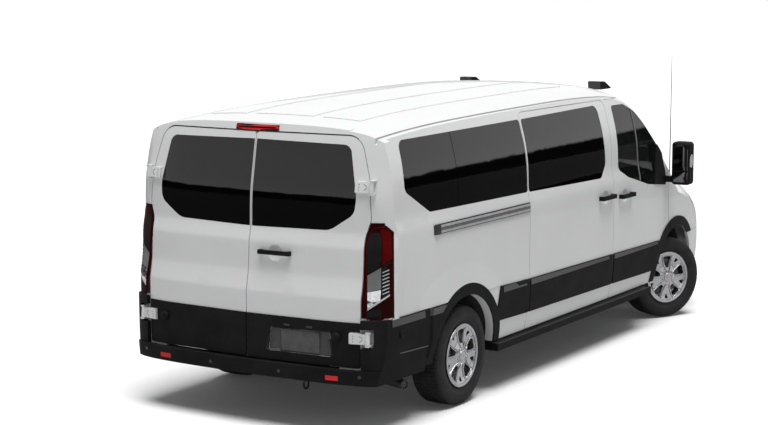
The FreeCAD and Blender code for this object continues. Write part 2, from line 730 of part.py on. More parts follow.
def rear_hinge_points():
    upper = Vec(x_rear + rear_hinge_upper[0], -rear_hinge_upper[1], rear_hinge_upper[2])
    lower = Vec(x_rear + rear_hinge_lower[0], -rear_hinge_lower[1], rear_hinge_lower[2])
    return upper, lower


def rear_window():
    return rear_layer(glass_inset, glass_thick).common(
        prism_x(rear_window_outline, x_rear - 20, x_rear + 400))


def tyre(x, y):
    """Tyre about an axis along Y at the wheel's place."""
    half = tyre_width / 2
    rim_face = rim_width / 2 + 2
    section = [(bead_radius, rim_face, 2), (cover_radius + 2, rim_face, 4), (bead_radius + 75, half, 60),
               (tyre_radius - 22, half - 12, 30), (tyre_radius, half - 34, 14)]
    ring = section + [(r, -w, b) for r, w, b in reversed(section)]
    wire = outline([(r, w, b) for r, w, b in ring], 6)
    face = Part.Face(wire)
    face.rotate(Vec(0, 0, 0), Vec(1, 0, 0), -90)
    solid = face.revolve(Vec(0, 0, 0), Vec(0, 1, 0), 360)
    return place_wheel(solid, x, y)


def place_wheel(solid, x, y):
    solid = solid.copy()
    solid.translate(Vec(x, y, tyre_radius))
    return solid


def wheel(x, y):
    """Steel wheel and its five-spoke cover; the outer face is on the -Y side."""
    rim = Part.makeCylinder(bead_radius - fit_gap, rim_width, Vec(0, -rim_width / 2, 0), Vec(0, 1, 0))
    rim = rim.cut(Part.makeCylinder(bead_radius - rim_wall, rim_width, Vec(0, -rim_width / 2 - 1, 0),
                                    Vec(0, 1, 0)))
    rim = rim.cut(Part.makeCylinder(bead_radius - rim_wall, rim_width, Vec(0, -rim_width / 2 + 2, 0),
                                    Vec(0, 1, 0)))
    lip = Part.makeCylinder(cover_radius, 12, Vec(0, -rim_width / 2 - 14 - fit_gap, 0), Vec(0, 1, 0))
    lip = lip.cut(Part.makeCylinder(cover_radius - 22, 30, Vec(0, -rim_width / 2 - 20, 0), Vec(0, 1, 0)))
    bridge = Part.makeCylinder(bead_radius - fit_gap, 12, Vec(0, -rim_width / 2 - 12, 0), Vec(0, 1, 0))
    bridge = bridge.cut(Part.makeCylinder(bead_radius - rim_wall, 40, Vec(0, -rim_width / 2 - 20, 0),
                                          Vec(0, 1, 0)))
    disc = Part.makeCylinder(bead_radius - rim_wall + 1, 16, Vec(0, -rim_width / 2 + 4, 0), Vec(0, 1, 0))
    cap = Part.makeCylinder(46, 26, Vec(0, -rim_width / 2 - 16, 0), Vec(0, 1, 0))
    hub = Part.makeCylinder(62, 60, Vec(0, -rim_width / 2 + 4, 0), Vec(0, 1, 0))
    dish = outline([(30, -112), (62, -109, 20), (105, -93, 40), (165, -91, 30), (200, -106),
                    (200, -97), (165, -80, 30), (105, -82, 40), (62, -98, 20), (30, -100)])
    face = Part.Face(dish)
    face.rotate(Vec(0, 0, 0), Vec(1, 0, 0), -90)
    cover = face.revolve(Vec(0, 0, 0), Vec(0, 1, 0), 360)
    body = fuse(rim, lip, bridge, disc, cap, hub, cover)
    slot = prism_y(outline([(-14, 84), (14, 84), (47, 182, 16), (-47, 182, 16)], 10), -200, 200)
    vent = prism_y(outline([(0, 138), (19, 184), (-19, 184)], 6), -200, 200)
    for i in range(5):
        turn = slot.copy()
        turn.rotate(Vec(0, 0, 0), Vec(0, 1, 0), 72 * i)
        body = body.cut(turn)
        turn = vent.copy()
        turn.rotate(Vec(0, 0, 0), Vec(0, 1, 0), 72 * i + 36)
        body = body.cut(turn)
    bore = Part.makeCylinder(stub_radius + fit_gap, rim_width, Vec(0, -rim_width / 2 + 12, 0), Vec(0, 1, 0))
    body = body.cut(bore)
    return place_wheel(body, x, y)


def steered(shape, side=-1):
    """Turns a front-wheel piece to its parked angle about its king pin."""
    shape = shape.copy()
    shape.rotate(Vec(x_fa, side * kingpin_half, 0), Vec(0, 0, 1), -parked_turn)
    return shape


def knuckle():
    """Right-hand steering knuckle with its stub axle and brake disc."""
    y_wheel = -track_front / 2
    stub = Part.makeCylinder(stub_radius, 145, Vec(x_fa, y_wheel - rim_width / 2 + 12 + fit_gap,
                                                   tyre_radius), Vec(0, 1, 0))
    disc = Part.makeCylinder(140, 20, Vec(x_fa, y_wheel + 6, tyre_radius), Vec(0, 1, 0))
    post = box(x_fa - 35, x_fa + 35, -kingpin_half - 20, -kingpin_half + 30, tyre_radius - 130,
               tyre_radius + 130)
    bore = Part.makeCylinder(14 + fit_gap, 400, Vec(x_fa, -kingpin_half, tyre_radius - 200))
    return fuse(stub, disc, post).cut(bore)


def front_suspension():
    """Subframe, arms and the king pins that carry the knuckles."""
    low = tyre_radius - 160
    high = tyre_radius + 136
    cross = box(x_fa - 60, x_fa + 60, -420, 420, low + 10, low + 100)
    parts = []
    for z, thick in ((low, 24), (high, 500 - high - fit_gap)):
        parts.append(box(x_fa - 25, x_fa + 25, -kingpin_half, -410, z, z + thick))
        parts.append(Part.makeCylinder(25, thick, Vec(x_fa, -kingpin_half, z)))
    parts.append(Part.makeCylinder(14, high - low + 10, Vec(x_fa, -kingpin_half, low)))
    parts.append(box(x_fa - 40, x_fa + 40, -480, -410, low, 500 - fit_gap))
    return fuse(cross, *parts, *[mirrored(piece) for piece in parts])


def chassis_frame():
    rail = box(floor_rear_x + 80 + fit_gap, x_front - 179, -480, -410, 500, 600 - fit_gap)
    beam = box(x_front - 180, x_front - 120, -560, 560, 545, 615)
    crosses = [box(x - 35, x + 35, -420, 420, 510, 580)
               for x in (x_rear + 300, x_ra + 500, c_line_x + 600, b_line_x, x_fa - 420)]
    mount = box(x_fa + 280, x_fa + 340, -412, -engine_half - fit_gap, 520, 580)
    pad = box(jack_pad_x - jack_pad_half, jack_pad_x + jack_pad_half, -445 - jack_pad_half,
              -445 + jack_pad_half, jack_pad_z, 501)
    return fuse(rail, mirrored(rail), beam, mount, mirrored(mount), pad, mirrored(pad), *crosses)


def driveline():
    """Live rear axle with its leaf springs, and the propeller shaft."""
    y = track_rear / 2
    beam = rod((x_ra, -y + 110, tyre_radius), (x_ra, y - 110, tyre_radius), 48)
    ball = Part.makeSphere(150, Vec(x_ra, 0, tyre_radius))
    parts = [beam, ball]
    for side in (-1, 1):
        stub = rod((x_ra, side * (y - 120), tyre_radius),
                   (x_ra, side * (y + rim_width / 2 - 12 - fit_gap), tyre_radius), stub_radius)
        drum = rod((x_ra, side * (y - 100), tyre_radius), (x_ra, side * (y + 14), tyre_radius), 140)
        spring = box(x_ra - 620, x_ra + 620, side * 560 - 35, side * 560 + 35, tyre_radius + 40,
                     tyre_radius + 70)
        hangers = [box(x_ra + dx - 20, x_ra + dx + 20, side * 560 - 35, side * 560 + 35,
                       tyre_radius + 40, 600 - fit_gap) for dx in (-600, 600)]
        parts += [stub, drum, spring] + hangers
    shaft = rod((x_ra + 140, 0, tyre_radius), (x_fa - 260, 0, tyre_radius + 80), 38)
    return fuse(*parts, shaft)


def front_bracket_pins():
    """Pins and brackets for the right-hand front door, fixed to the pillar."""
    parts = []
    for z in hinge_zs:
        axis = hinge_axis_point(z)
        half = hinge_height / 2
        parts.append(hinge_rod(z, hinge_pin_radius, hinge_height + 20))
        for low in (z - half - 11, z + half + 2):
            parts.append(box(axis.x - 8, axis.x + 70, axis.y - 7, axis.y + 50, low, low + 9))
        parts.append(box(axis.x + 28, axis.x + 70, axis.y - 7, axis.y + 50, z - 34, z + 34))
    return fuse(*parts)


def trim_layer():
    """Thickness of the black cladding, standing on the right-hand skin."""
    return side_layer(-flare_proud, flare_proud - fit_gap)


def front_flare():
    ring = arch(x_fa, front_arch_radius + flare_band, -1400, 0).cut(
        arch(x_fa, front_arch_radius, -1401, 1))
    return ring.common(trim_layer())


def side_trim():
    """Fixed black cladding: flares, lower bands and the slide rail."""
    layer = trim_layer()
    rear_ring = arch(x_ra, rear_arch_radius + flare_band, -1400, 0).cut(
        arch(x_ra, rear_arch_radius, -1401, 1))
    rear_ring = rear_ring.common(layer).common(
        box(corner_front_x + fit_gap, x_ra + 600, -1400, 0, sill_z, 1000))
    front_ring = front_flare().common(box(x_fa - 600, x_fa + 600, -1400, 0, 700 - 4, 1000)).cut(
        prism_y(grown(front_door_outline, flare_gap), -1400, 0))
    band = prism_y(outline([(x_ra + 415, 515), (x_ra + 480, 760), (c_line_x - 5, 748),
                            (c_line_x - 5, 502)], 5), -1400, 0).common(layer)
    door_band = prism_y(outline([(c_line_x + 8, 502), (c_line_x + 8, 748), (b_line_x - 12, 730),
                                 (b_line_x - 12, 488)], 5), -1400, 0).common(layer)
    rail = side_layer(-8, 8 - fit_gap).common(
        box(x_ra - 437, c_line_x - 8, -1400, 0, 1240, 1305))
    right = [rear_ring.fuse(band).removeSplitter(), front_ring, door_band, rail,
             handle_bar(handle_sliding)]
    pieces = right + [mirrored(piece) for piece in right[:3]]
    return Part.makeCompound(pieces)


def sail_outline():
    """Black panel in the front corner of the door window, which carries the mirror."""
    return outline([(x_fa - 414, 1590), (x_fa - 250, 1590), (x_fa - 250, 1150), (x_fa - 567, 1150)])


def front_door_trim():
    """Lower band, handle, window corner and mirror of the right-hand front door."""
    layer = trim_layer()
    band = prism_y(outline([(b_line_x + 12, 488), (b_line_x + 12, 730), (x_fa - 420, 714),
                            (x_fa - 300, 700), (x_fa - 400, 470)], 5), -1400, 0).common(layer)
    leg = front_flare().common(prism_y(grown(front_door_outline, -2), -1400, 0))
    band = band.cut(arch(x_fa, front_arch_radius + flare_band - 10)).fuse(leg).removeSplitter()
    sail = prism_y(sail_outline(), -1400, 0).common(prism_y(front_window_outline, -1400, 0)).common(
        side_layer(-7, 7 + glass_inset - fit_gap))
    skin = side_skin_y(x_fa - 330, 1250)
    head = box(x_fa - 330, x_fa - 200, -1225, skin - 62, 1180, 1540)
    head = head.makeFillet(30, head.Edges)
    arm = box(x_fa - 326, x_fa - 294, skin - 70, skin, 1200, 1250)
    return Part.makeCompound([band, fuse(head, arm, sail), handle_bar(handle_front)])


def rear_door_trim(right):
    """Black lower cladding and, on the right, the handle."""
    layer = rear_layer(-6, 6 - fit_gap)
    skirt = prism_x(outline([(-4, rear_door_bottom + 1), (-4, cladding_z), (-844, cladding_z),
                             (-844, rear_door_bottom + 1)], 6), x_rear - 60, x_rear + 300).common(layer)
    lower = rear_hinge_points()[1]
    skirt = skirt.cut(box(x_rear - 100, x_rear + 300, -1000, -774, lower.z - 40, lower.z + 40))
    pieces = [skirt]
    if right:
        recess = prism_x(plate_outline(), x_rear - 60, x_rear + 300)
        tray = rear_layer(plate_recess - 3 - fit_gap, 3).common(
            prism_x(grown(plate_outline(), -fit_gap), x_rear - 60, x_rear + 300))
        pieces = [skirt.cut(recess), tray.cut(plate_bolts())]
        y, z = handle_rear
        half = handle_length / 2
        handle = rear_layer(-34, 16).common(
            box(x_rear - 100, x_rear + 300, y - half, y + half, z - 14, z + 14))
        feet = rear_layer(-20, 20 - fit_gap).common(
            box(x_rear - 100, x_rear + 300, y - half, y - half + 22, z - 14, z + 14).fuse(
                box(x_rear - 100, x_rear + 300, y + half - 22, y + half, z - 14, z + 14)))
        pieces.append(handle.fuse(feet).removeSplitter())
    return Part.makeCompound(pieces)


def rear_bracket_pins():
    """Pins and their brackets on the right-hand corner pillar."""
    upper, lower = rear_hinge_points()
    along = upper - lower
    along.normalize()
    parts = []
    for centre in (upper, lower):
        half = rear_knuckle_length / 2 + 12
        pin = Part.makeCylinder(rear_pin_radius, 2 * half, centre - along * half, along)
        for end in (-1, 1):
            middle = centre + along * (end * (rear_knuckle_length / 2 + 7))
            plate = box(middle.x - 14, middle.x + 60, middle.y - 16, middle.y + 10,
                        middle.z - 5, middle.z + 5)
            parts.append(plate)
        parts.append(pin)
    return parts


def tail_lamp_zone(gap):
    """Corner block at the lamp's place, from the cladding up to the waist."""
    zone = box(x_rear - 60, x_rear + 222 + gap, -1400, -853 + gap, 775 - gap, 1380 + gap)
    shell = rear_layer(-4 - 50 * bool(gap), 40 + 50 * bool(gap) + gap).fuse(
        side_layer(-4 - 50 * bool(gap), 40 + 50 * bool(gap) + gap))
    return shell.common(zone)


def tail_lamp():
    lamp = tail_lamp_zone(0).common(rear_layer(-4, deep)).common(side_layer(-4, deep))
    return lamp.cut(prism_x(grown(rear_door_outline, shut_gap + 2), x_rear - 60, x_rear + 400))


def stop_lamp(gap):
    return rear_layer(-3 - 20 * bool(gap), 12 + 20 * bool(gap) + gap).common(
        box(x_rear - 50, x_rear + 400, -170 - gap, 170 + gap, 1930 - gap, 1966 + gap))


def tail_lamps():
    lamp = tail_lamp()
    return Part.makeCompound([lamp, mirrored(lamp), stop_lamp(0)])


def bumper_corner(gap):
    """High corner of the rear bumper; with a gap it is the room it needs in the wall."""
    clear = 60 if gap else 0
    shell = rear_layer(-corner_proud - clear, corner_proud + corner_depth + clear + gap).fuse(
        side_layer(-flare_proud - clear, flare_proud + corner_depth + clear + gap))
    return shell.common(
        box(x_rear - 60, corner_front_x + gap, -1400, -853 + gap, 340 - gap, corner_top_z + gap))


def rear_bumper():
    """Step bumper with its high corners and a pocket round each lower hinge."""
    inner = rear_layer(-45, 90).common(box(x_rear - 20, x_rear + 600, -690, 690, 340, 436))
    inner = inner.fuse(rear_layer(-45, 45 - fit_gap).common(
        box(x_rear - 20, x_rear + 600, -1400, 1400, 340, 436)))
    corner = bumper_corner(0)
    corner = corner.common(rear_layer(-corner_proud, deep)).common(side_layer(-flare_proud, deep))
    lower = rear_hinge_points()[1]
    corner = corner.cut(box(x_rear - 60, x_rear + 250, lower.y - 36, 0, lower.z - 62, lower.z + 62))
    corner = corner.cut(box(x_rear - 60, x_rear + 250, corner_swing_y, 0, 0, corner_top_z + 10))
    skin = side_layer(-flare_proud, deep).common(mirrored(side_layer(-flare_proud, deep)))
    return fuse(inner.common(skin), corner, mirrored(corner))


def running_boards():
    board = box(c_line_x - 480, x_fa - 600, -1020, -880, 300, 345)
    brackets = [box(x - 25, x + 25, -890, -420, 320, 345).fuse(box(x - 25, x + 25, -450, -420, 320, 500))
                for x in (c_line_x - 300, 0, x_fa - 800)]
    return both_sides(fuse(board, *brackets))


def exhaust():
    pipe = rod((x_fa - 200, -250, 330), (x_ra + 900, -250, 330), 32)
    can = rod((x_ra + 1600, -250, 330), (x_ra + 950, -250, 330), 95)
    tail = rod((x_ra + 900, -250, 330), (x_ra + 600, -640, 260), 30)
    end = rod((x_ra + 600, -640, 260), (x_ra - 560, -640, 260), 30)
    tip = rod((x_ra - 560, -640, 260), (x_ra - 640, -900, 262), 32)
    joints = [Part.makeSphere(32, Vec(*p)) for p in
              ((x_ra + 900, -250, 330), (x_ra + 600, -640, 260), (x_ra - 560, -640, 260))]
    hangers = [rod((x, y, 262), (x, y, 600 - fit_gap), 6)
               for x, y in ((x_fa - 700, -250), (x_ra + 1200, -250), (x_ra - 500, -640))]
    return fuse(pipe, can, tail, end, tip, *joints, *hangers)


def fuel_tank():
    tank = box(-200, 550, 100, 405, 320, 600 - fit_gap)
    return tank.makeFillet(40, tank.Edges)


def spare_wheel():
    middle = Vec(x_rear + 622, 0, 400)
    ring = Part.makeTorus(tyre_radius - 100, 100, middle, Vec(0, 0, 1))
    disc = Part.makeCylinder(200, 30, middle - Vec(0, 0, 15))
    carrier = Part.makeCylinder(10, 600 - fit_gap - middle.z, middle)
    return fuse(ring, disc, carrier)


def engine_block():
    return box(x_fa + 20, x_fa + 620, -engine_half, engine_half, 470, 1040)


def dashboard():
    edge = skin_half - frame_depth - 70
    top = prism_y(outline([(x_fa - 160 - fit_gap, 1195), (x_fa - 420, 1150, 60), (x_fa - 480, 1020, 60),
                           (x_fa - 380, 820, 40), (x_fa - 160 - fit_gap, 800)], 20), -edge, edge)
    column = rod((x_fa - 400, 430, 1000), (x_fa - 640, 430, 1100), 35)
    ring = Part.makeTorus(190, 16, Vec(x_fa - 650, 430, 1104), Vec(-0.92, 0, 0.38))
    hub = rod((x_fa - 625, 430, 1094), (x_fa - 665, 430, 1110), 60)
    spokes = rod((x_fa - 650, 245, 1104), (x_fa - 650, 615, 1104), 14)
    return fuse(top, column, ring, hub, spokes)


def seat(x, y0, y1, base_z):
    cushion = box(x, x + 480, y0, y1, base_z + 260, base_z + 400)
    cushion = cushion.makeFillet(35, cushion.Edges)
    back = box(-70, 70, y0, y1, 0, 640)
    back = back.makeFillet(35, back.Edges)
    back.rotate(Vec(0, 0, 0), Vec(0, 1, 0), -14)
    back.translate(Vec(x + 20, 0, base_z + 380))
    base = box(x + 60, x + 420, y0 + 40, y1 - 40, base_z, base_z + 262)
    return fuse(cushion, back, base)


def front_seats():
    return both_sides(seat(x_fa - 1330, -700, -220, floor_z + fit_gap))


def rear_seats():
    rows = []
    for x in (x_fa - 2200, x_fa - 3010, x_ra - 80, x_ra - 780):
        wide = 760 if x > x_ra + 600 else 620
        rows.append(seat(x, -380, wide, floor_z + fit_gap))
    return Part.makeCompound(rows)


def antenna():
    """Whip mast on the right-hand wing."""
    foot = Vec(x_fa + 142, -860, 0)
    top = nose_layer(0, 30).common(Part.makeLine(foot, foot + Vec(0, 0, 2000))).BoundBox.ZMax
    base = Part.makeCone(20, 8, 60, foot + Vec(0, 0, top - 15), Vec(0, 0, 1))
    base = base.cut(nose_layer(-fit_gap, 40))
    mast = Part.makeCone(5, 2.5, 2225 - top - 40, foot + Vec(0, 0, top + 40), Vec(0, 0, 1))
    return fuse(mast, base)


def roof_pods():
    pods = []
    for y in (-600, 600):
        wedge = prism_y(outline([(x_fa - 860, 1990), (x_fa - 870, 2056, 8), (x_fa - 780, 2054, 20),
                                 (x_fa - 640, 1990)], 4), y - 55, y + 55)
        pods.append(wedge.cut(roof_layer(-fit_gap, 600)))
    return Part.makeCompound(pods)


def save(name, shape):
    os.makedirs("parts", exist_ok=True)
    shape.exportStep("parts/" + name + ".step")


def build():
    room = tail_lamp_zone(fit_gap)
    right = body_side(True).cut(room)
    left = mirrored(body_side(False).cut(room))
    brackets = rear_bracket_pins()
    door_pins = front_bracket_pins()
    right = fuse(right, door_pins, *brackets)
    left = fuse(left, mirrored(door_pins), *[mirrored(piece) for piece in brackets])
    save("body_side_right", right)
    save("body_side_left", left)
    save("roof_panel", roof_panel())
    save("floor_pan", floor_pan())
    save("bulkhead", bulkhead())
    wing = fender()
    save("fender_right", wing)
    save("fender_left", mirrored(wing))
    save("windscreen", windscreen())
    save("side_windows", side_windows())
    save("sliding_door", sliding_door())
    save("side_trim", side_trim())
    save("front_bumper", front_bumper())
    save("grille", grille())
    save("headlamps", both_sides(headlamp()))
    save("rear_bumper", rear_bumper())
    save("tail_lamps", tail_lamps())
    save("running_boards", running_boards())
    save("chassis_frame", chassis_frame())
    save("driveline", driveline())
    save("front_suspension", front_suspension())
    save("exhaust", exhaust())
    save("fuel_tank", fuel_tank())
    save("spare_wheel", spare_wheel())
    save("engine_block", engine_block())
    save("dashboard", dashboard())
    save("front_seats", front_seats())
    save("rear_seats", rear_seats())
    save("number_plate", number_plate())
    save("antenna", antenna())
    save("roof_pods", roof_pods())
    door = front_door()
    pane = side_pane(front_window_outline)
    trim = front_door_trim()
    for side, place in (("right", lambda s: s), ("left", mirrored)):
        save("front_door_" + side, place(door))
        save("front_window_" + side, place(pane))
        save("front_door_trim_" + side, place(trim))
        save("rear_door_" + side, place(rear_door(side == "right")))
        save("rear_window_" + side, place(rear_window()))
        save("rear_door_trim_" + side, place(rear_door_trim(side == "right")))
    save("hood", hood())
    front_wheel = wheel(x_fa, -track_front / 2)
    front_tyre = tyre(x_fa, -track_front / 2)
    save("knuckle_right", steered(knuckle()))
    save("knuckle_left", steered(mirrored(knuckle()), 1))
    save("wheel_front_right", steered(front_wheel))
    save("wheel_front_left", steered(mirrored(front_wheel), 1))
    save("tyre_front_right", steered(front_tyre))
    save("tyre_front_left", steered(mirrored(front_tyre), 1))
    rear_wheel = wheel(x_ra, -track_rear / 2)
    rear_tyre = tyre(x_ra, -track_rear / 2)
    save("wheel_rear_right", rear_wheel)
    save("wheel_rear_left", mirrored(rear_wheel))
    save("tyre_rear_right", rear_tyre)
    save("tyre_rear_left", mirrored(rear_tyre))


build()
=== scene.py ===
import json
import math

import bpy
import bmesh
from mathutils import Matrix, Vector
from mathutils.bvhtree import BVHTree
from mathutils.geometry import delaunay_2d_cdt


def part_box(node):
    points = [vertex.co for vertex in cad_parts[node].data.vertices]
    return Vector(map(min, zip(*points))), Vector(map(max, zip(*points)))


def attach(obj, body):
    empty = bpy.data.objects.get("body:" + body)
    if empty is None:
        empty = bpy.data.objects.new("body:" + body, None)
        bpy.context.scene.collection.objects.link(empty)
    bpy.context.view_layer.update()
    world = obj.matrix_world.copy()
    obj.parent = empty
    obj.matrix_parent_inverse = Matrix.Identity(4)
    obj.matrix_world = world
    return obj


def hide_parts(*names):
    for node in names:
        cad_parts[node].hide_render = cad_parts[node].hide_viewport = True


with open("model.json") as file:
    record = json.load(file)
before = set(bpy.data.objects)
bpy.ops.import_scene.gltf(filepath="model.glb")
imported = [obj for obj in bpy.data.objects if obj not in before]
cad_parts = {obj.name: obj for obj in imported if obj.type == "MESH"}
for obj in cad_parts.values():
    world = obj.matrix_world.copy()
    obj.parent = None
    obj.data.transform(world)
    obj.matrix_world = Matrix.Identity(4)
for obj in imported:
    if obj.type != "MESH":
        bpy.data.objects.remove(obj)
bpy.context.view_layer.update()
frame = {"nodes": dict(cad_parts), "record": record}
nodes = frame["nodes"]
joints = {joint["name"]: joint for joint in frame["record"]["behaviour"]["joints"]}

# Radius of the tyres and height of the rear arch's centre, in metres like all sizes here
TYRE_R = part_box("tyre_rear_right")[1][2] / 2
ARCH_Z = 0.342

# Each side of the vehicle, and whether what was measured on the right is mirrored for it
SIDES = (("right", False), ("left", True))
WHEELS = ("front_right", "front_left", "rear_right", "rear_left")


# Materials

def principled(name, colour, roughness, metallic=0.0, coat=0.0, specular=0.5):
    material = bpy.data.materials.new(name)
    material.use_nodes = True
    shader = material.node_tree.nodes["Principled BSDF"]
    shader.inputs["Base Color"].default_value = (*colour, 1)
    shader.inputs["Roughness"].default_value = roughness
    shader.inputs["Metallic"].default_value = metallic
    shader.inputs["Coat Weight"].default_value = coat
    shader.inputs["Specular IOR Level"].default_value = specular
    shader.inputs["Coat Roughness"].default_value = 0.03
    return material, shader


def link(source, output, target, socket):
    source.id_data.links.new(source.outputs[output], target.inputs[socket])


def position_noise(material, scale):
    """Noise laid out in the object's own space."""
    place = material.node_tree.nodes.new("ShaderNodeTexCoord")
    noise = material.node_tree.nodes.new("ShaderNodeTexNoise")
    noise.inputs["Scale"].default_value = scale
    noise.inputs["Detail"].default_value = 3.0
    link(place, "Object", noise, "Vector")
    return noise


def grain(material, shader, scale, strength, distance=0.0005):
    noise = position_noise(material, scale)
    bump = material.node_tree.nodes.new("ShaderNodeBump")
    bump.inputs["Strength"].default_value = strength
    bump.inputs["Distance"].default_value = distance
    link(noise, "Fac", bump, "Height")
    link(bump, "Normal", shader, "Normal")


def mottle(material, shader, dark, light, scale):
    """Colour that drifts between two values."""
    noise = position_noise(material, scale)
    ramp = material.node_tree.nodes.new("ShaderNodeValToRGB")
    ramp.color_ramp.elements[0].position = 0.35
    ramp.color_ramp.elements[0].color = (*dark, 1)
    ramp.color_ramp.elements[1].position = 0.65
    ramp.color_ramp.elements[1].color = (*light, 1)
    link(noise, "Fac", ramp, "Fac")
    link(ramp, "Color", shader, "Base Color")


def surface(name, dark, light, roughness, metallic=0.0, coat=0.0, drift=4.0, grains=None,
            specular=0.5):
    """A finish with a slow drift of colour and, where grains is given, a fine bump."""
    material, shader = principled(name, dark, roughness, metallic, coat, specular)
    mottle(material, shader, dark, light, drift)
    if grains:
        grain(material, shader, *grains)
    return material


def glass(name, colour, alpha):
    material, shader = principled(name, colour, 0.02)
    shader.inputs["Alpha"].default_value = alpha
    shader.inputs["IOR"].default_value = 1.5
    grain(material, shader, 3.0, 0.02)
    return material


paint = surface("body_paint", (0.76, 0.762, 0.765), (0.78, 0.782, 0.785), 0.35, coat=0.35, drift=2.0,
                grains=(900.0, 0.03, 0.0002), specular=0.3)
black_trim = surface("black_trim", (0.008, 0.008, 0.009), (0.013, 0.013, 0.014), 0.65, drift=6.0,
                     grains=(700.0, 0.3), specular=0.08)
black_satin = surface("black_satin", (0.012, 0.012, 0.013), (0.018, 0.018, 0.019), 0.3, drift=6.0,
                      grains=(900.0, 0.1), specular=0.8)
black_gloss = surface("black_gloss", (0.004, 0.004, 0.005), (0.007, 0.007, 0.008), 0.15, coat=0.3)
mid_grey = surface("mid_grey", (0.13, 0.13, 0.135), (0.17, 0.17, 0.175), 0.5, drift=9.0)
plate_grey = surface("plate_grey", (0.06, 0.06, 0.062), (0.085, 0.085, 0.088), 0.5, drift=14.0,
                     grains=(500.0, 0.2))
privacy = glass("privacy_glass", (0.001, 0.001, 0.0012), 0.97)
clear = glass("clear_glass", (0.006, 0.007, 0.0065), 0.80)
underbody = surface("underbody", (0.012, 0.012, 0.013), (0.03, 0.03, 0.032), 0.8, drift=8.0,
                    grains=(120.0, 0.4, 0.001), specular=0.2)
steel = surface("steel", (0.42, 0.42, 0.43), (0.52, 0.52, 0.53), 0.32, metallic=1.0, drift=30.0)
cast_iron = surface("cast_iron", (0.04, 0.04, 0.04), (0.08, 0.078, 0.075), 0.7, metallic=0.3,
                    drift=20.0, grains=(260.0, 0.5, 0.001))
aluminised = surface("aluminised", (0.030, 0.030, 0.029), (0.06, 0.059, 0.058), 0.5, metallic=0.3,
                     drift=12.0)
dash = surface("dash_plastic", (0.02, 0.02, 0.021), (0.032, 0.032, 0.034), 0.6, drift=5.0,
               grains=(500.0, 0.3), specular=0.3)
cloth = surface("seat_cloth", (0.030, 0.032, 0.038), (0.060, 0.062, 0.070), 0.95, drift=60.0,
                grains=(800.0, 0.6, 0.001), specular=0.2)
lining = surface("floor_lining", (0.030, 0.030, 0.032), (0.05, 0.05, 0.052), 0.85, drift=10.0,
                 grains=(200.0, 0.4, 0.001), specular=0.2)
rubber = surface("tyre", (0.010, 0.010, 0.011), (0.019, 0.019, 0.020), 0.7, drift=12.0,
                 grains=(400.0, 0.25), specular=0.3)
silver = surface("wheel_silver", (0.42, 0.42, 0.43), (0.52, 0.52, 0.53), 0.18, metallic=1.0,
                 coat=0.3, drift=6.0)
red_lens = surface("lamp_red", (0.085, 0.0008, 0.001), (0.11, 0.001, 0.0015), 0.35, specular=0.06)
bright_red = surface("lamp_bright_red", (0.55, 0.01, 0.01), (0.80, 0.025, 0.025), 0.3, specular=0.3)
dark_red = surface("lamp_dark_red", (0.016, 0.0003, 0.0004), (0.026, 0.0004, 0.0006), 0.35,
                   specular=0.06)
clear_lens = surface("lamp_clear", (0.50, 0.51, 0.53), (0.62, 0.63, 0.65), 0.12, coat=0.5)
chrome = surface("lamp_reflector", (0.60, 0.61, 0.62), (0.85, 0.86, 0.87), 0.12, metallic=1.0,
                 drift=40.0)
plate_shade = surface("plate_shade", (0.040, 0.040, 0.042), (0.055, 0.055, 0.057), 0.6, drift=14.0)
# Lit and shaded copies of the slide rail's grey: painted highlight for its lips, painted shade for its
# slot
rail_bright = surface("rail_bright", (0.36, 0.36, 0.365), (0.44, 0.44, 0.445), 0.4, drift=20.0)
rail_painted_shade = surface("rail_painted_shade", (0.12, 0.12, 0.125), (0.16, 0.16, 0.165), 0.4, drift=20.0)
mirror_glass = surface("mirror_glass", (0.20, 0.20, 0.21), (0.24, 0.24, 0.25), 0.04, metallic=1.0)

slot_materials = {
    "body_paint": paint, "black_trim": black_trim, "privacy_glass": privacy, "clear_glass": clear,
    "underbody": underbody, "cast_iron": cast_iron, "aluminised": aluminised,
    "dash_plastic": dash, "seat_cloth": cloth, "floor_lining": lining, "tyre": rubber,
    "wheel_silver": silver, "lamp_red": dark_red, "lamp_clear": clear_lens,
    "plate_grey": plate_grey}
node_materials = {"antenna": mid_grey, "roof_pods": black_gloss}

for part in frame["record"]["subparts"]:
    data = nodes[part["node"]].data
    data.materials.clear()
    data.materials.append(node_materials.get(part["node"], slot_materials[part["material_slot"]]))


# Helpers

def node_tree_of(name):
    """Search tree of a CAD node's faces, in the shared frame."""
    data = nodes[name].data
    world = nodes[name].matrix_world
    points = [world @ vertex.co for vertex in data.vertices]
    return BVHTree.FromPolygons(points, [tuple(face.vertices) for face in data.polygons])


trees = {}


def hit(names, origin, direction):
    """First point of the named CAD nodes along a ray, with its normal, or None."""
    best = None
    for name in names:
        if name not in trees:
            trees[name] = node_tree_of(name)
        place, normal, _, distance = trees[name].ray_cast(Vector(origin), Vector(direction))
        if place is not None and (best is None or distance < best[2]):
            best = (place, normal, distance)
    return best


def nearest(names, point):
    """Closest point of the named CAD nodes, with its normal."""
    found = [trees[name].find_nearest(point) for name in names]
    place, normal, _, _ = min(found, key=lambda item: item[3])
    return place, normal


def facing(normal, direction):
    """The normal, turned to where the ray comes from."""
    return -normal if normal.dot(Vector(direction)) > 0 else normal


def met(names, throw, u, v):
    """Place and outward normal where throw's ray meets the named CAD nodes."""
    origin, direction = throw(u, v)
    place, normal, _ = hit(names, origin, direction)
    return place, facing(normal, direction)


def flipped(point):
    """The same place on the other side of the vehicle."""
    return Vector((point[0], -point[1], point[2]))


def rectangle(u0, v0, u1, v1):
    return [(u0, v0), (u1, v0), (u1, v1), (u0, v1)]


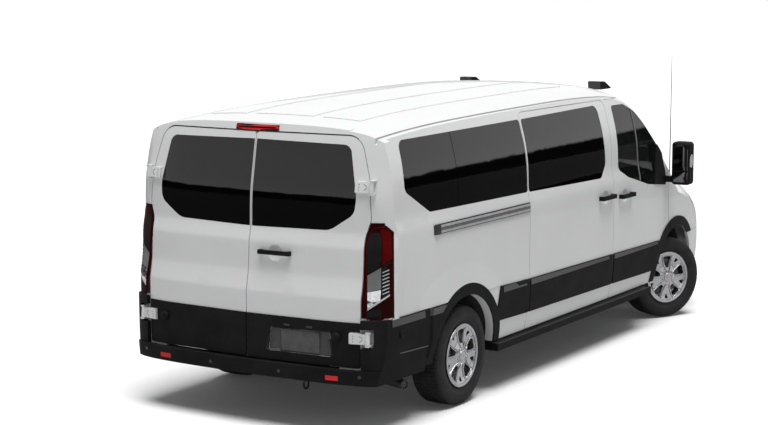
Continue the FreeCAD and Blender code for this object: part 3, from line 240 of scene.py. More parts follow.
def ring_faces(rings, count, closed):
    """Quads between rings of count points; an open row of rings gets a face at each end."""
    faces = []
    for i in range(rings if closed else rings - 1):
        for k in range(count):
            here, ahead, after = i * count, (i + 1) % rings * count, (k + 1) % count
            faces.append((here + k, here + after, ahead + after, ahead + k))
    if not closed:
        faces.append(tuple(reversed(range(count))))
        faces.append(tuple((rings - 1) * count + k for k in range(count)))
    return faces


def turned(centre, axis, steps, profile_at):
    """A closed profile carried round an axis; profile_at gives (radius, offset) pairs for a step."""
    axis = Vector(axis).normalized()
    side = axis.orthogonal().normalized()
    other = axis.cross(side)
    points = []
    for i in range(steps):
        turn = 2 * math.pi * i / steps
        out = side * math.cos(turn) + other * math.sin(turn)
        points += [Vector(centre) + out * radius + axis * offset for radius, offset in profile_at(i)]
    return points, ring_faces(steps, len(points) // steps, True)


def placed(name, data, material, body):
    """A piece with its material, on its body."""
    piece = bpy.data.objects.new(name, data)
    bpy.context.scene.collection.objects.link(piece)
    data.materials.append(material)
    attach(piece, body)
    return piece


def add_mesh(name, points, faces, material, body, smooth=False):
    data = bpy.data.meshes.new(name)
    data.from_pydata([tuple(point) for point in points], [], faces)
    data.validate()
    data.update()
    for face in data.polygons:
        face.use_smooth = smooth
    return placed(name, data, material, body)


def lathe(name, profile, centre, axis, segments, material, body):
    """Closed ring from (radius, offset along the axis) points."""
    points, faces = turned(centre, axis, segments, lambda i: profile)
    add_mesh(name, points, faces, material, body, smooth=True)


# Tyres: tread ribs with cross cuts, a rounded shoulder and a bead over the rim

TREAD_BLOCKS = 72
SAMPLES = 4
RIBS = [(-0.088, -0.052), (-0.044, -0.008), (0.008, 0.044), (0.052, 0.088)]
GROOVE = 0.008
CROSS_CUT = 0.0055
TYRE_HALF = 0.1165


def tread_profile(cut):
    """Cross-section from bead to bead; cut is how deep the shoulder's cross cut is here."""
    top = TYRE_R - 0.0008
    side = [(0.206, 0.0962), (0.222, 0.0972), (0.240, 0.107), (0.272, TYRE_HALF),
            (0.300, TYRE_HALF - 0.001), (0.322, 0.110), (0.336 - cut * 0.4, 0.102)]
    profile = [(r, -w) for r, w in side]
    for low, high in RIBS:
        depth = cut if abs(low + high) > 0.1 else cut * 0.6
        crown = 0.004 * (max(abs(low), abs(high)) / 0.09) ** 2
        profile += [(top - GROOVE, low - 0.003), (top - crown - depth, low),
                    (top - crown - depth, high), (top - GROOVE, high + 0.003)]
    profile += [(r, w) for r, w in reversed(side)]
    return profile


def tyre(place):
    joint = joints["wheel_spin_" + place]
    points, faces = turned(joint["pos_m"], joint["axis"], TREAD_BLOCKS * SAMPLES,
                           lambda i: tread_profile(0.0 if i % SAMPLES else CROSS_CUT))
    piece = add_mesh("tread_tyre_" + place, points, faces, rubber, "wheel_" + place)
    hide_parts("tyre_" + place)


for place in WHEELS:
    tyre(place)


# Pieces that lie on a surface: a flat outline is filled with triangles, thrown onto the CAD
# along one direction and given a thickness

def refine(polygon, step):
    """The outline with extra points, so that no side is longer than step."""
    fine = []
    for i, start in enumerate(polygon):
        end = polygon[(i + 1) % len(polygon)]
        count = max(1, math.ceil((Vector(end) - Vector(start)).length / step))
        for k in range(count):
            fine.append(Vector(start).lerp(Vector(end), k / count))
    return fine


def inside(point, polygon):
    odd = False
    for i, a in enumerate(polygon):
        b = polygon[i - 1]
        if (a[1] > point[1]) != (b[1] > point[1]):
            if point[0] < (b[0] - a[0]) * (point[1] - a[1]) / (b[1] - a[1]) + a[0]:
                odd = not odd
    return odd


def filled(polygon, step):
    """Triangles over the outline, with inner points on a grid."""
    edge = refine(polygon, step)
    low = [min(point[k] for point in edge) for k in (0, 1)]
    high = [max(point[k] for point in edge) for k in (0, 1)]
    points = list(edge)
    for i in range(1, int((high[0] - low[0]) / step) + 1):
        for k in range(1, int((high[1] - low[1]) / step) + 1):
            point = Vector((low[0] + i * step, low[1] + k * step))
            near = min((point - other).length for other in edge)
            if inside(point, edge) and near > 0.4 * step:
                points.append(point)
    sides = [(i, (i + 1) % len(edge)) for i in range(len(edge))]
    result = delaunay_2d_cdt(points, sides, [], 1, 1e-6)
    return result[0], result[2]


def laid_on(name, names, polygon, throw, lift, thick, material, body, step=0.03,
            mirror=False):
    """Plate on the CAD surface. throw(u, v) gives the start and direction of a ray."""
    flat, triangles = filled(polygon, step)
    top, bottom = [], []
    rays = [throw(*point) for point in flat]
    struck = [hit(names, *ray) for ray in rays]
    reach = [found[2] for found in struck if found]
    usual = sorted(reach)[len(reach) // 2]
    for (origin, direction), found in zip(rays, struck):
        if found is None:
            found = nearest(names, Vector(origin) + Vector(direction).normalized() * usual)
        place, normal = found[0], facing(found[1], direction)
        top.append(place + normal * lift)
        bottom.append(place + normal * (lift - thick))
    count = len(flat)
    faces = [tuple(face) for face in triangles]
    faces += [tuple(count + i for i in reversed(face)) for face in triangles]
    rim = {}
    for face in triangles:
        for i, a in enumerate(face):
            b = face[(i + 1) % len(face)]
            rim[(a, b)] = rim.get((a, b), 0) + 1
    for a, b in rim:
        if (b, a) not in rim:
            faces.append((b, a, count + a, count + b))
    points = top + bottom
    if mirror:
        points = [flipped(point) for point in points]
        faces = [tuple(reversed(face)) for face in faces]
    add_mesh(name, points, faces, material, body)


def from_right(u, v):
    return (u, -2.0, v), (0, 1, 0)


def from_behind(u, v):
    return (-4.0, u, v), (1, 0, 0)


def from_front(u, v):
    return (4.0, u, v), (-1, 0, 0)


def from_above(u, v):
    return (u, v, 4.0), (0, 0, -1)


# The photograph's camera: place, directions to the right, up and ahead, and focal length
EYE = Vector((-12.4353, -6.8755, 2.9933))
YAW, PITCH = math.radians(31.487), math.radians(-7.760)
AHEAD = Vector((math.cos(PITCH) * math.cos(YAW), math.cos(PITCH) * math.sin(YAW), math.sin(PITCH)))
SIDE = AHEAD.cross(Vector((0, 0, 1))).normalized()
RISE = SIDE.cross(AHEAD)
PHOTO_WIDTH, PHOTO_HEIGHT = 768, 425
FOCAL = 1810.5


def from_eye(u, v):
    """Ray through a place in the photograph, given in hundreds of pixels."""
    across = (100 * u - PHOTO_WIDTH / 2) / FOCAL
    down = (100 * v - PHOTO_HEIGHT / 2) / FOCAL
    return EYE, AHEAD + SIDE * across - RISE * down


def disc(u, v, radius, count=20):
    turns = [2 * math.pi * i / count for i in range(count)]
    return [(u + radius * math.cos(turn), v + radius * math.sin(turn)) for turn in turns]


def tube(name, points, radius, material, body, count=10, closed=False):
    """Round bar along a line of points."""
    line = [Vector(point) for point in points]
    turns = [2 * math.pi * k / count for k in range(count)]
    up = Vector((0.13, 0.27, 0.95)).normalized()
    around = []
    for i, point in enumerate(line):
        before = line[i - 1] if i or closed else point
        after = line[(i + 1) % len(line)] if i + 1 < len(line) or closed else point
        ahead = (after - before).normalized()
        side = ahead.cross(up).normalized()
        rise = side.cross(ahead)
        around += [point + (side * math.cos(t) + rise * math.sin(t)) * radius for t in turns]
    add_mesh(name, around, ring_faces(len(line), count, closed), material, body, True)


def block(name, low, high, material, body, bevel):
    """Box between two corners, its edges rounded."""
    mesh = bmesh.new()
    bmesh.ops.create_cube(mesh, size=1)
    low, high = Vector(low), Vector(high)
    for vertex in mesh.verts:
        vertex.co = Vector([low[k] + (vertex.co[k] + 0.5) * (high[k] - low[k]) for k in range(3)])
    bmesh.ops.bevel(mesh, geom=mesh.edges[:], offset=bevel, segments=3, affect="EDGES", profile=0.5)
    data = bpy.data.meshes.new(name)
    mesh.to_mesh(data)
    mesh.free()
    placed(name, data, material, body)


# Tail lamps, plate recess and pillar: outlines as seen in the photograph, in hundreds of pixels.
# The lens's fields lie LENS or RAISED above the CAD lamp

LAMP_SHELL = [(3.660, 2.46), (3.690, 2.33), (3.715, 2.285), (3.783, 2.258), (3.859, 2.254),
              (3.939, 2.320), (3.943, 3.19), (3.925, 3.207), (3.665, 3.207), (3.652, 3.00)]
LAMP_DARK = [(3.672, 2.46), (3.700, 2.345), (3.722, 2.325), (3.801, 2.33), (3.824, 2.419),
             (3.816, 2.603), (3.790, 2.679), (3.672, 2.733)]
LAMP_RED = [(3.806, 2.289), (3.859, 2.289), (3.913, 2.327), (3.920, 2.587), (3.822, 2.652),
            (3.830, 2.419), (3.808, 2.33)]
LAMP_SHADE = [(3.675, 2.756), (3.810, 2.679), (3.810, 2.893), (3.675, 2.924)]
LAMP_CLEAR = [(3.675, 2.926), (3.810, 2.901), (3.801, 3.016), (3.675, 3.080)]
LAMP_RIBBED = [(3.816, 2.672), (3.902, 2.603), (3.897, 2.943), (3.812, 2.996)]
LAMP_BAR = [(3.675, 3.085), (3.897, 2.942), (3.897, 2.960), (3.675, 3.108)]
LAMP_FOOT = [(3.668, 3.115), (3.810, 3.085), (3.813, 3.190), (3.668, 3.195)]
RIB_PLACES = [2.700 + 0.036 * i for i in range(7)]
PLATE_RECESS = [(2.715, 3.268), (2.740, 3.272), (3.270, 3.315), (3.300, 3.325), (3.312, 3.362),
                (3.324, 3.562), (2.690, 3.500), (2.668, 3.480), (2.671, 3.450)]
PILLAR_FOOT = [(3.425, 3.668), (3.600, 3.682), (3.606, 3.706), (3.425, 3.694)]
STOP_LENS = [(2.338, 1.288), (2.405, 1.232), (2.775, 1.252), (2.812, 1.318)]
STOP_LINE = [(2.378, 1.262), (2.395, 1.254), (2.755, 1.272), (2.772, 1.282), (2.755, 1.288),
             (2.395, 1.270)]
RIM = [(3.668, 2.46), (3.700, 2.325), (3.730, 2.295), (3.783, 2.274), (3.859, 2.269), (3.928, 2.327),
       (3.932, 3.180), (3.910, 3.200), (3.675, 3.200), (3.662, 3.00)]
LENS, RAISED, LENS_THICK = 0.0030, 0.0045, 0.003


def tail_lamps():
    lamp = ["tail_lamps", "body_side_right"]
    for side, flip in SIDES:
        for part, polygon, lift, material, slot_name in (
                ("shell", LAMP_SHELL, LENS / 2, dark_red, "lamp_red"),
                ("dark", LAMP_DARK, LENS, black_trim, "lamp_red"),
                ("red", LAMP_RED, LENS, red_lens, "lamp_red"),
                ("shade", LAMP_SHADE, LENS, mid_grey, "lamp_clear"),
                ("reverse", LAMP_CLEAR, LENS, chrome, "lamp_clear"),
                ("ribbed", LAMP_RIBBED, LENS, black_trim, "lamp_clear"),
                ("bar", LAMP_BAR, RAISED, clear_lens, "lamp_clear"),
                ("foot", LAMP_FOOT, LENS, black_trim, "lamp_red")):
            laid_on("tail_lamp_%s_%s" % (part, side), lamp, polygon, from_eye, lift, LENS_THICK,
                    material, "root", step=0.04, mirror=flip)
        for i, v in enumerate(RIB_PLACES):
            rib = [(3.824, v + 0.022), (3.892, v - 0.006), (3.892, v + 0.004), (3.824, v + 0.032)]
            laid_on("tail_lamp_rib_%d_%s" % (i, side), lamp, rib, from_eye, RAISED, LENS_THICK,
                    clear_lens, "root", step=0.05, mirror=flip)
        edge = []
        for u, v in refine(RIM, 0.03):
            found = hit(lamp, *from_eye(u, v))
            if found:
                place = found[0] + found[1] * 0.0025
                edge.append(flipped(place) if flip else place)
        tube("tail_lamp_rim_" + side, edge, 0.0022, red_lens, "root", 6, closed=True)
    shell = ["tail_lamps", "roof_panel", "body_side_right", "body_side_left"]
    laid_on("stop_lamp_lens", shell, STOP_LENS, from_eye, 0.002, 0.004, bright_red, "root")
    laid_on("stop_lamp_line", shell, STOP_LINE, from_eye, 0.0035, 0.003, dark_red, "root")


# Rear bumper and door cladding: sensors, reflectors, buffers and the blank plate, whose face
# stays PLATE_EDGE inside its outline

PLATE_EDGE = 0.004
DOOR_EDGE_STEPS = 12
BAR_TOP = 0.434


def rear_details():
    for i, (y, z) in enumerate(((-0.86, 0.40), (-0.275, 0.385), (0.275, 0.385), (0.86, 0.40))):
        laid_on("park_sensor_%d" % i, ["rear_bumper"], disc(y, z, 0.012), from_behind, 0.002, 0.004,
                black_gloss, "root", step=0.01)
    buffer = [(0.004, 0.002), (0.026, 0.003), (0.031, 0.008), (0.027, 0.020), (0.015, 0.026),
              (0.004, 0.027)]
    for side, y in (("right", -0.67), ("left", 0.67)):
        laid_on("reflector_" + side, ["rear_bumper"], rectangle(y - 0.045, 0.365, y + 0.045, 0.395),
                from_behind, 0.003, 0.006, bright_red, "root")
    for side, y in (("right", -0.69), ("left", 0.69)):
        place = hit(["rear_door_trim_" + side], *from_behind(y, 0.645))[0]
        lathe("door_buffer_" + side, buffer, place, (-1, 0, 0), 28, black_trim, "rear_door_" + side)
    for y in (-0.49, -0.32):
        laid_on("plate_lamp_%d" % round(-100 * y), ["rear_door_trim_right"],
                rectangle(y - 0.022, 0.683, y + 0.022, 0.697), from_behind, 0.004, 0.006, black_gloss,
                "rear_door_right")
    laid_on("plate_recess", ["rear_door_trim_right", "rear_door_right"], PLATE_RECESS, from_eye, 0.0015,
            0.004, plate_shade, "rear_door_right")
    (_, y0, z0), (_, y1, z1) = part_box("number_plate")
    face = rectangle(y0 + PLATE_EDGE, z0 + PLATE_EDGE, y1 - PLATE_EDGE, z1 - PLATE_EDGE)
    laid_on("plate_face", ["number_plate"], face, from_behind, 0.0045, 0.004, plate_grey,
            "rear_door_right", step=0.05)
    edge = [hit(["number_plate"], *from_behind(y, z))[0] - Vector((0.0050, 0, 0))
            for y, z in refine(face, 0.04)]
    tube("plate_rim", edge, 0.0022, black_satin, "rear_door_right", 8, closed=True)
    for side, flip in SIDES:
        laid_on("pillar_foot_" + side, ["body_side_right"], PILLAR_FOOT, from_eye, 0.0015, 0.003,
                black_trim, "root", mirror=flip)


def door_edges():
    """Black cladding on the doors' meeting edges, and the step's ends beside the bumper's bar."""
    for side, sign in (("right", -1), ("left", 1)):
        node = "rear_door_" + side
        points = []
        for i in range(DOOR_EDGE_STEPS + 1):
            z = 0.462 + 0.284 * i / DOOR_EDGE_STEPS
            x = hit([node, "rear_door_trim_" + side], *from_behind(sign * 0.007, z))[0].x
            points += [(x + depth, sign * y, z) for depth, y in
                       ((0.001, 0.0030), (0.040, 0.0030), (0.040, 0.0042), (0.001, 0.0042))]
        add_mesh("door_edge_" + side, points, ring_faces(DOOR_EDGE_STEPS + 1, 4, False), black_trim,
                 node)
        outer = []
        for i in range(9):
            y = sign * (0.680 + 0.022 * i)
            outer.append((hit(["rear_bumper"], *from_behind(y, 0.40))[0].x + 0.006, y))
        top = [(x, y, BAR_TOP) for x, y in outer] + [(x + 0.095, y, BAR_TOP) for x, y in reversed(outer)]
        low = [(x, y, z - 0.006) for x, y, z in top]
        count = len(top)
        faces = [tuple(range(count)), tuple(reversed(range(count, 2 * count)))]
        faces += [(i, (i + 1) % count, count + (i + 1) % count, count + i) for i in range(count)]
        add_mesh("step_end_" + side, top + low, faces, black_trim, "root")


# Slide rail in the black surround: its lips in a lit copy of the rail's grey, painted highlight, and its
# slot in a shaded copy, painted shade

def slide_rail():
    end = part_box("sliding_door")[0][0] - 0.012
    # Top and foot carry painted highlight, the slot carries painted shade
    for name, z0, z1, lift, material in (
            ("top", 1.282, 1.299, 0.004, rail_bright), ("slot", 1.264, 1.279, 0.0015, rail_painted_shade),
            ("foot", 1.245, 1.262, 0.004, rail_bright)):
        laid_on("slide_rail_" + name, ["side_trim"], rectangle(-2.215, z0, end, z1), from_right, lift,
                0.004, material, "root", step=0.05)
    laid_on("slide_rail_cap", ["side_trim", "body_side_right"], rectangle(-2.235, 1.240, -2.165, 1.303),
            from_right, 0.008, 0.010, black_satin, "root")


# Mirror glasses, lamp on the mirror, window divider and the round buffer on the bumper's side, the
# same on both sides

def side_fittings():
    trim = ["front_door_trim_right"]
    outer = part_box("front_door_trim_right")[0][1]
    for side, flip in SIDES:
        body = "front_door_" + side
        for part, z0, z1 in (("upper", 1.305, 1.52), ("lower", 1.205, 1.29)):
            laid_on("mirror_glass_%s_%s" % (part, side), trim,
                    rectangle(outer + 0.014, z0, outer + 0.135, z1), from_behind, 0.0015, 0.004,
                    mirror_glass, body, step=0.04, mirror=flip)
        laid_on("mirror_lamp_" + side, trim,
                [(1.660, 1.335), (1.700, 1.325), (1.722, 1.36), (1.716, 1.43), (1.690, 1.44),
                 (1.662, 1.41)], from_right, 0.003, 0.006, clear_lens, body, mirror=flip)
        laid_on("window_bar_" + side, ["front_window_right"],
                [(1.082, 1.845), (1.100, 1.845), (1.142, 1.262), (1.124, 1.262)], from_right, 0.004,
                0.008, mid_grey, body, step=0.05, mirror=flip)
        centre = hit(["rear_bumper"], *from_right(-2.644, 0.652))[0]
        lathe("quarter_buffer_" + side,
              [(0.004, 0.001), (0.028, 0.001), (0.028, 0.006), (0.022, 0.010), (0.004, 0.011)],
              flipped(centre) if flip else centre, (0, 1 if flip else -1, 0), 28, black_trim, "root")


# Bevelled upper edge of the black cladding: a wedge from the paint down to the cladding's face

def ledge(name, node, skin_node, stations, body, flip):
    """Stations are (along, z of the wedge's top, z of its foot)."""
    points = []
    out = -Vector(from_right(0, 0)[1])
    for along, z_top, z_low in stations:
        skin = hit([skin_node, node], *from_right(along, z_top))
        face = hit([node], *from_right(along, z_low))
        if skin and face:
            low = face[0] + out * 0.0035
            top = skin[0] + out * 0.001
            points += [top, low, low - out * 0.006, top - out * 0.004]
    if flip:
        points = [flipped(point) for point in points]
    add_mesh(name, points, ring_faces(len(points) // 4, 4, False), black_satin, body)


def cladding_ledges():
    for side, flip in SIDES:
        ledge("ledge_front_door_" + side, "front_door_trim_right", "front_door_right",
              [(0.62 + 0.09 * i, 0.727 - 0.0016 * i, 0.690) for i in range(11)],
              "front_door_" + side, flip)
        ledge("ledge_middle_" + side, "side_trim", "sliding_door",
              [(-0.842 + 0.0905 * i, 0.744 - 0.0012 * i, 0.702) for i in range(16)], "root", flip)
        ledge("ledge_quarter_" + side, "side_trim", "body_side_right",
              [(-1.27 + 0.06 * i, 0.753, 0.710) for i in range(7)], "root", flip)
        ledge("ledge_corner_" + side, "rear_bumper", "body_side_right",
              [(-2.76 + 0.05 * i, 0.758, 0.712) for i in range(9)], "root", flip)


# Cladding between the bumper's corner and the arch, with a satin band on top, and the bumper's
# crease

FILLER_LOW, FILLER_TOP, BAND_LOW = 0.44, 0.757, 0.712


def arch_filler():
    corner_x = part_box("rear_bumper")[1][0]
    arch_x = joints["wheel_spin_rear_right"]["pos_m"][0]
    reach = arch_x - corner_x + 0.006
    start = corner_x - 0.004

    def on_arch(z):
        return arch_x - math.sqrt(reach ** 2 - (z - ARCH_Z) ** 2)

    heights = [FILLER_LOW + (FILLER_TOP - FILLER_LOW) * i / 10 for i in range(11)]
    wedge = [(start, FILLER_LOW)] + [(on_arch(z), z) for z in heights] + [(start, FILLER_TOP)]
    band = [(start, BAND_LOW), (on_arch(BAND_LOW) - 0.004, BAND_LOW),
            (on_arch(FILLER_TOP) - 0.004, FILLER_TOP), (start, FILLER_TOP)]
    crease = [(4.000, 3.528), (4.280, 3.452), (4.280, 3.463), (4.000, 3.539)]
    for side, flip in SIDES:
        laid_on("arch_filler_" + side, ["body_side_right"], wedge, from_right, 0.020, 0.022, black_trim,
                "root", mirror=flip)
        laid_on("arch_band_" + side, ["body_side_right"], band, from_right, 0.0225, 0.004, black_satin,
                "root", mirror=flip)
        laid_on("bumper_crease_" + side, ["rear_bumper"], crease, from_eye, 0.0025, 0.004, black_satin,
                "root", step=0.04, mirror=flip)


# Running boards: ribs along the tread and end caps

def board_ribs():
    low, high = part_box("running_boards")
    for label, side in (("right", -1), ("left", 1)):
        for i in range(6):
            y = side * (high[1] - 0.012 - 0.021 * i)
            block("board_rib_%s_%d" % (label, i), (low[0] + 0.01, y - 0.005, 0.343),
                  (high[0] - 0.01, y + 0.005, 0.350), black_satin, "root", 0.002)
        for x in (low[0], high[0]):
            block("board_end_%s_%d" % (label, x > 0), (x - 0.004, side * 0.95 - 0.072, 0.298),
                  (x + 0.004, side * 0.95 + 0.072, 0.352), black_trim, "root", 0.003)


# Wheel covers: two raised creases on each spoke, a rim band, a centre cap and wheel nuts

SPOKES = 5
COVER_NUT = [(0.001, 0.0), (0.009, 0.0), (0.008, 0.007), (0.001, 0.009)]
COVER_CAP = [(0.001, 0.108), (0.040, 0.108), (0.042, 0.112), (0.038, 0.1165), (0.022, 0.1195),
             (0.001, 0.1205)]
COVER_BAND = [(0.203, 0.104), (0.219, 0.1075), (0.2205, 0.1105), (0.214, 0.1120), (0.206, 0.1105)]
COVER_BACK = [(0.070, 0.074), (0.188, 0.074), (0.188, 0.076), (0.070, 0.076)]


def cover_details():
    dish = [(0.055, 0.1105), (0.075, 0.1075), (0.105, 0.0945), (0.165, 0.0925), (0.198, 0.1050)]
    for place in WHEELS:
        joint = joints["wheel_spin_" + place]
        centre = Vector(joint["pos_m"])
        out = Vector(joint["axis"]).normalized() * (-1 if place.endswith("right") else 1)
        up = Vector((0, 0, 1))
        across = out.cross(up)
        body = "wheel_" + place

        def at(radius, degrees, lift):
            turn = math.radians(degrees)
            return centre + (up * math.cos(turn) + across * math.sin(turn)) * radius + out * lift

        for i in range(SPOKES):
            spoke = 360 / SPOKES * i
            for label, sign in (("a", -1), ("b", 1)):
                crease = [at(radius, spoke + sign * (20.0 - k), lift + 0.001)
                          for k, (radius, lift) in enumerate(dish)]
                tube("cover_crease_%s_%d%s" % (place, i, label), crease, 0.0042, silver, body,
                     8)
                lip = [at(0.183, spoke + sign * 15.5, 0.096), at(0.192, spoke + sign * 9.0, 0.101),
                       at(0.193, spoke, 0.102)]
                tube("cover_lip_%s_%d%s" % (place, i, label), lip, 0.0040, silver, body,
                     8)
            lathe("cover_nut_%s_%d" % (place, i), COVER_NUT, at(0.058, spoke + 180 / SPOKES, 0.108), out,
                  12, silver, body)
        for part, profile, segments, material, slot_name in (
                ("cap", COVER_CAP, 40, silver, "wheel_silver"),
                ("band", COVER_BAND, 72, silver, "wheel_silver"),
                ("back", COVER_BACK, 48, black_gloss, "underbody")):
            lathe("cover_%s_%s" % (part, place), profile, centre, out, segments, material, body)


# Bolts on the rear hinges with grey bars of painted shade along their creases, tow eye, and the open end
# of the tail pipe, shown by a black disc of painted shade across its mouth

PIPE_BEND, PIPE_END = Vector((-2.3425, -0.640, 0.260)), Vector((-2.4225, -0.900, 0.262))
PIPE_LIP = [(0.026, -0.004), (0.0325, -0.004), (0.0335, 0.0005), (0.0325, 0.0045), (0.026, 0.0035)]
# Black disc across the tail pipe's mouth: painted shade of the open pipe's inside
PIPE_MOUTH_SHADE = [(0.0005, 0.0006), (0.027, 0.0006), (0.027, 0.0012), (0.0005, 0.0012)]


def rear_fittings():
    for side, flip in SIDES:
        body = "rear_door_" + side
        for part, y, z in (("upper", -0.872, 1.606), ("lower", -0.884, 0.643)):
            for k in (-1, 0, 1):
                laid_on("hinge_dot_%s_%s_%d" % (part, side, k + 1), ["rear_door_right"],
                        disc(-0.806, z + 0.018 * k, 0.0035, 12), from_behind, 0.0008, 0.003, mid_grey,
                        body, step=0.01, mirror=flip)
            # Grey bars along the hinge's creases: painted shade in the creases
            for k, dz in enumerate((1, -1)):
                (u0, v0), (u1, v1) = (y + 0.014, z + 0.004 * dz), (y + 0.034, z + 0.020 * dz)
                bar = [(u0, v0 - 0.002), (u1, v1 - 0.002), (u1, v1 + 0.002), (u0, v0 + 0.002)]
                laid_on("hinge_mark_%s_%s_%d" % (part, side, k), ["rear_door_right"], bar, from_behind,
                        0.0012, 0.003, mid_grey, body, mirror=flip)
    eye = [(-2.955 - 0.028 * math.sin(t), -0.48, 0.319 + 0.028 * math.cos(t))
           for t in [2 * math.pi * i / 24 for i in range(24)]]
    tube("tow_eye", eye, 0.007, black_trim, "root", closed=True)
    lathe("tail_pipe_end", PIPE_LIP, PIPE_END, PIPE_END - PIPE_BEND, 32, aluminised, "root")
    # The disc closing the pipe's mouth is painted shade of its inside
    lathe("tail_pipe_mouth_shade", PIPE_MOUTH_SHADE, PIPE_END, PIPE_END - PIPE_BEND, 32, black_gloss, "root")


# Seats: crowned cushions with sewn channels on tube frames, in place of the plain CAD blocks

SEAT_FLOOR = 0.6403
SEAT_PITCH = 0.42
SEAT_LEG = [(0.075, 0.018), (0.095, 0.218), (0.125, 0.248), (0.355, 0.248), (0.385, 0.218),
            (0.405, 0.018)]
PAD_GRID = 20
ROUNDNESS = 6
WAIST = 0.035
CHANNEL_DEPTH, CHANNEL_WIDTH = 0.010, 0.07
ALONG, ACROSS, UP = Vector((1, 0, 0)), Vector((0, 1, 0)), Vector((0, 0, 1))
LEAN = math.radians(14)
BACK_UP = Vector((-math.sin(LEAN), 0, math.cos(LEAN)))
BACK_OUT = Vector((math.cos(LEAN), 0, math.sin(LEAN)))


def pillow(name, centre, axes, half, crown, channels):
    """Crowned closed cushion. axes are the directions of its two sides and its top; channels are
    (which side, place from -1 to 1)."""
    index, points, faces = {}, [], []

    def corner(p):
        key = tuple(round(value * PAD_GRID) for value in p)
        if key not in index:
            size = sum(abs(value) ** ROUNDNESS for value in p) ** (1 / ROUNDNESS)
            a, b, c = (value / size for value in p)
            swell = crown * max(0.0, 1 - a * a) * max(0.0, 1 - b * b)
            groove = sum(math.exp(-(((a, b)[axis] - at) / CHANNEL_WIDTH) ** 2)
                         for axis, at in channels)
            top = c * half[2]
            if c > 0:
                top += swell - CHANNEL_DEPTH * groove * min(1.0, 2 * c)
            wide = a * half[0] * (1 - WAIST * (1 - b * b))
            deep = b * half[1] * (1 - WAIST * (1 - a * a))
            index[key] = len(points)
            points.append(Vector(centre) + axes[0] * wide + axes[1] * deep + axes[2] * top)
        return index[key]

    ticks = [2 * i / PAD_GRID - 1 for i in range(PAD_GRID + 1)]
    for axis in range(3):
        for sign in (-1, 1):
            for i in range(PAD_GRID):
                for k in range(PAD_GRID):
                    quad = []
                    for s, t in rectangle(i, k, i + 1, k + 1):
                        p = [0.0, 0.0, 0.0]
                        p[axis] = sign
                        p[(axis + 1) % 3] = ticks[s]
                        p[(axis + 2) % 3] = ticks[t]
                        quad.append(corner(p))
                    faces.append(tuple(quad) if sign > 0 else tuple(reversed(quad)))
    piece = add_mesh(name, points, faces, cloth, "root", smooth=True)
    return piece


def seat_row(label, node, x, y0, y1):
    """Seats side by side on one frame: x is the rear of their cushions."""
    count = max(1, round((y1 - y0) / SEAT_PITCH))
    width = (y1 - y0) / count
    half = width / 2 - 0.006
    for i in range(count):
        y = y0 + width * (i + 0.5)
        name = "%s_%d" % (label, i)
        foot = Vector((x + 0.020, y, SEAT_FLOOR + 0.380))
        parts = [pillow("seat_cushion_" + name, (x + 0.250, y, SEAT_FLOOR + 0.325), (ALONG, ACROSS, UP),
                        (0.228, half, 0.060), 0.020, [(1, -0.52), (1, 0.52), (0, 0.35)]),
                 pillow("seat_back_" + name, foot + BACK_UP * 0.255, (ACROSS, BACK_UP, BACK_OUT),
                        (half - 0.004, 0.235, 0.050), 0.018, [(0, -0.52), (0, 0.52), (1, -0.25)]),
                 pillow("seat_head_" + name, foot + BACK_UP * 0.572, (ACROSS, BACK_UP, BACK_OUT),
                        (0.125, 0.062, 0.044), 0.012, [(1, 0.0)])]
        for piece in parts:
            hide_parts(node)
        for side in (-1, 1):
            start = foot + ACROSS * (side * 0.06) + BACK_UP * 0.45
            tube("seat_post_%s_%d" % (name, side + 1), [start, start + BACK_UP * 0.09], 0.006, steel,
                 "root", 12)
    for k, y in enumerate((y0 + 0.08, y1 - 0.08)):
        leg = [(x + along, y, SEAT_FLOOR + height) for along, height in SEAT_LEG]
        tube("seat_leg_%s_%d" % (label, k), leg, 0.018, underbody, "root", 14)
        block("seat_rail_%s_%d" % (label, k), (x + 0.062, y - 0.024, SEAT_FLOOR),
              (x + 0.418, y + 0.024, SEAT_FLOOR + 0.022), underbody, "root", 0.006)
    for k, along in enumerate((x + 0.14, x + 0.34)):
        beam = [(along, y, SEAT_FLOOR + 0.245) for y in (y0 + 0.05, y1 - 0.05)]
        tube("seat_beam_%s_%d" % (label, k), beam, 0.016, underbody, "root", 14)


def seats():
    for label, y0, y1 in (("front_right", -0.700, -0.220), ("front_left", 0.220, 0.700)):
        seat_row(label, "front_seats", 0.6375, y0, y1)
    rows = ((-0.2325, 0.760), (-1.0425, 0.760), (-1.8625, 0.620), (-2.5625, 0.620))
    for k, (x, y1) in enumerate(rows):
        seat_row("row_%d" % (k + 1), "rear_seats", x, -0.380, y1)


# Front: lamp insides, intake, fog lamps, wipers and the dashboard's fittings

def from_corner(u, v):
    """Ray onto the front right corner; u runs along the corner from the side to the nose."""
    slant = math.sqrt(0.5)
    return Vector((u * slant + 2.0, u * slant - 2.0, v)), Vector((-slant, slant, 0))


LAMP_BEZEL = [(1.04, 0.955), (1.10, 0.995), (1.30, 0.975), (1.52, 0.905), (1.62, 0.85), (1.63, 0.79),
              (1.58, 0.735), (1.36, 0.738), (1.18, 0.80)]
LAMP_LINE = [(1.06, 0.935), (1.16, 0.845), (1.24, 0.785), (1.36, 0.748), (1.47, 0.745), (1.58, 0.748)]


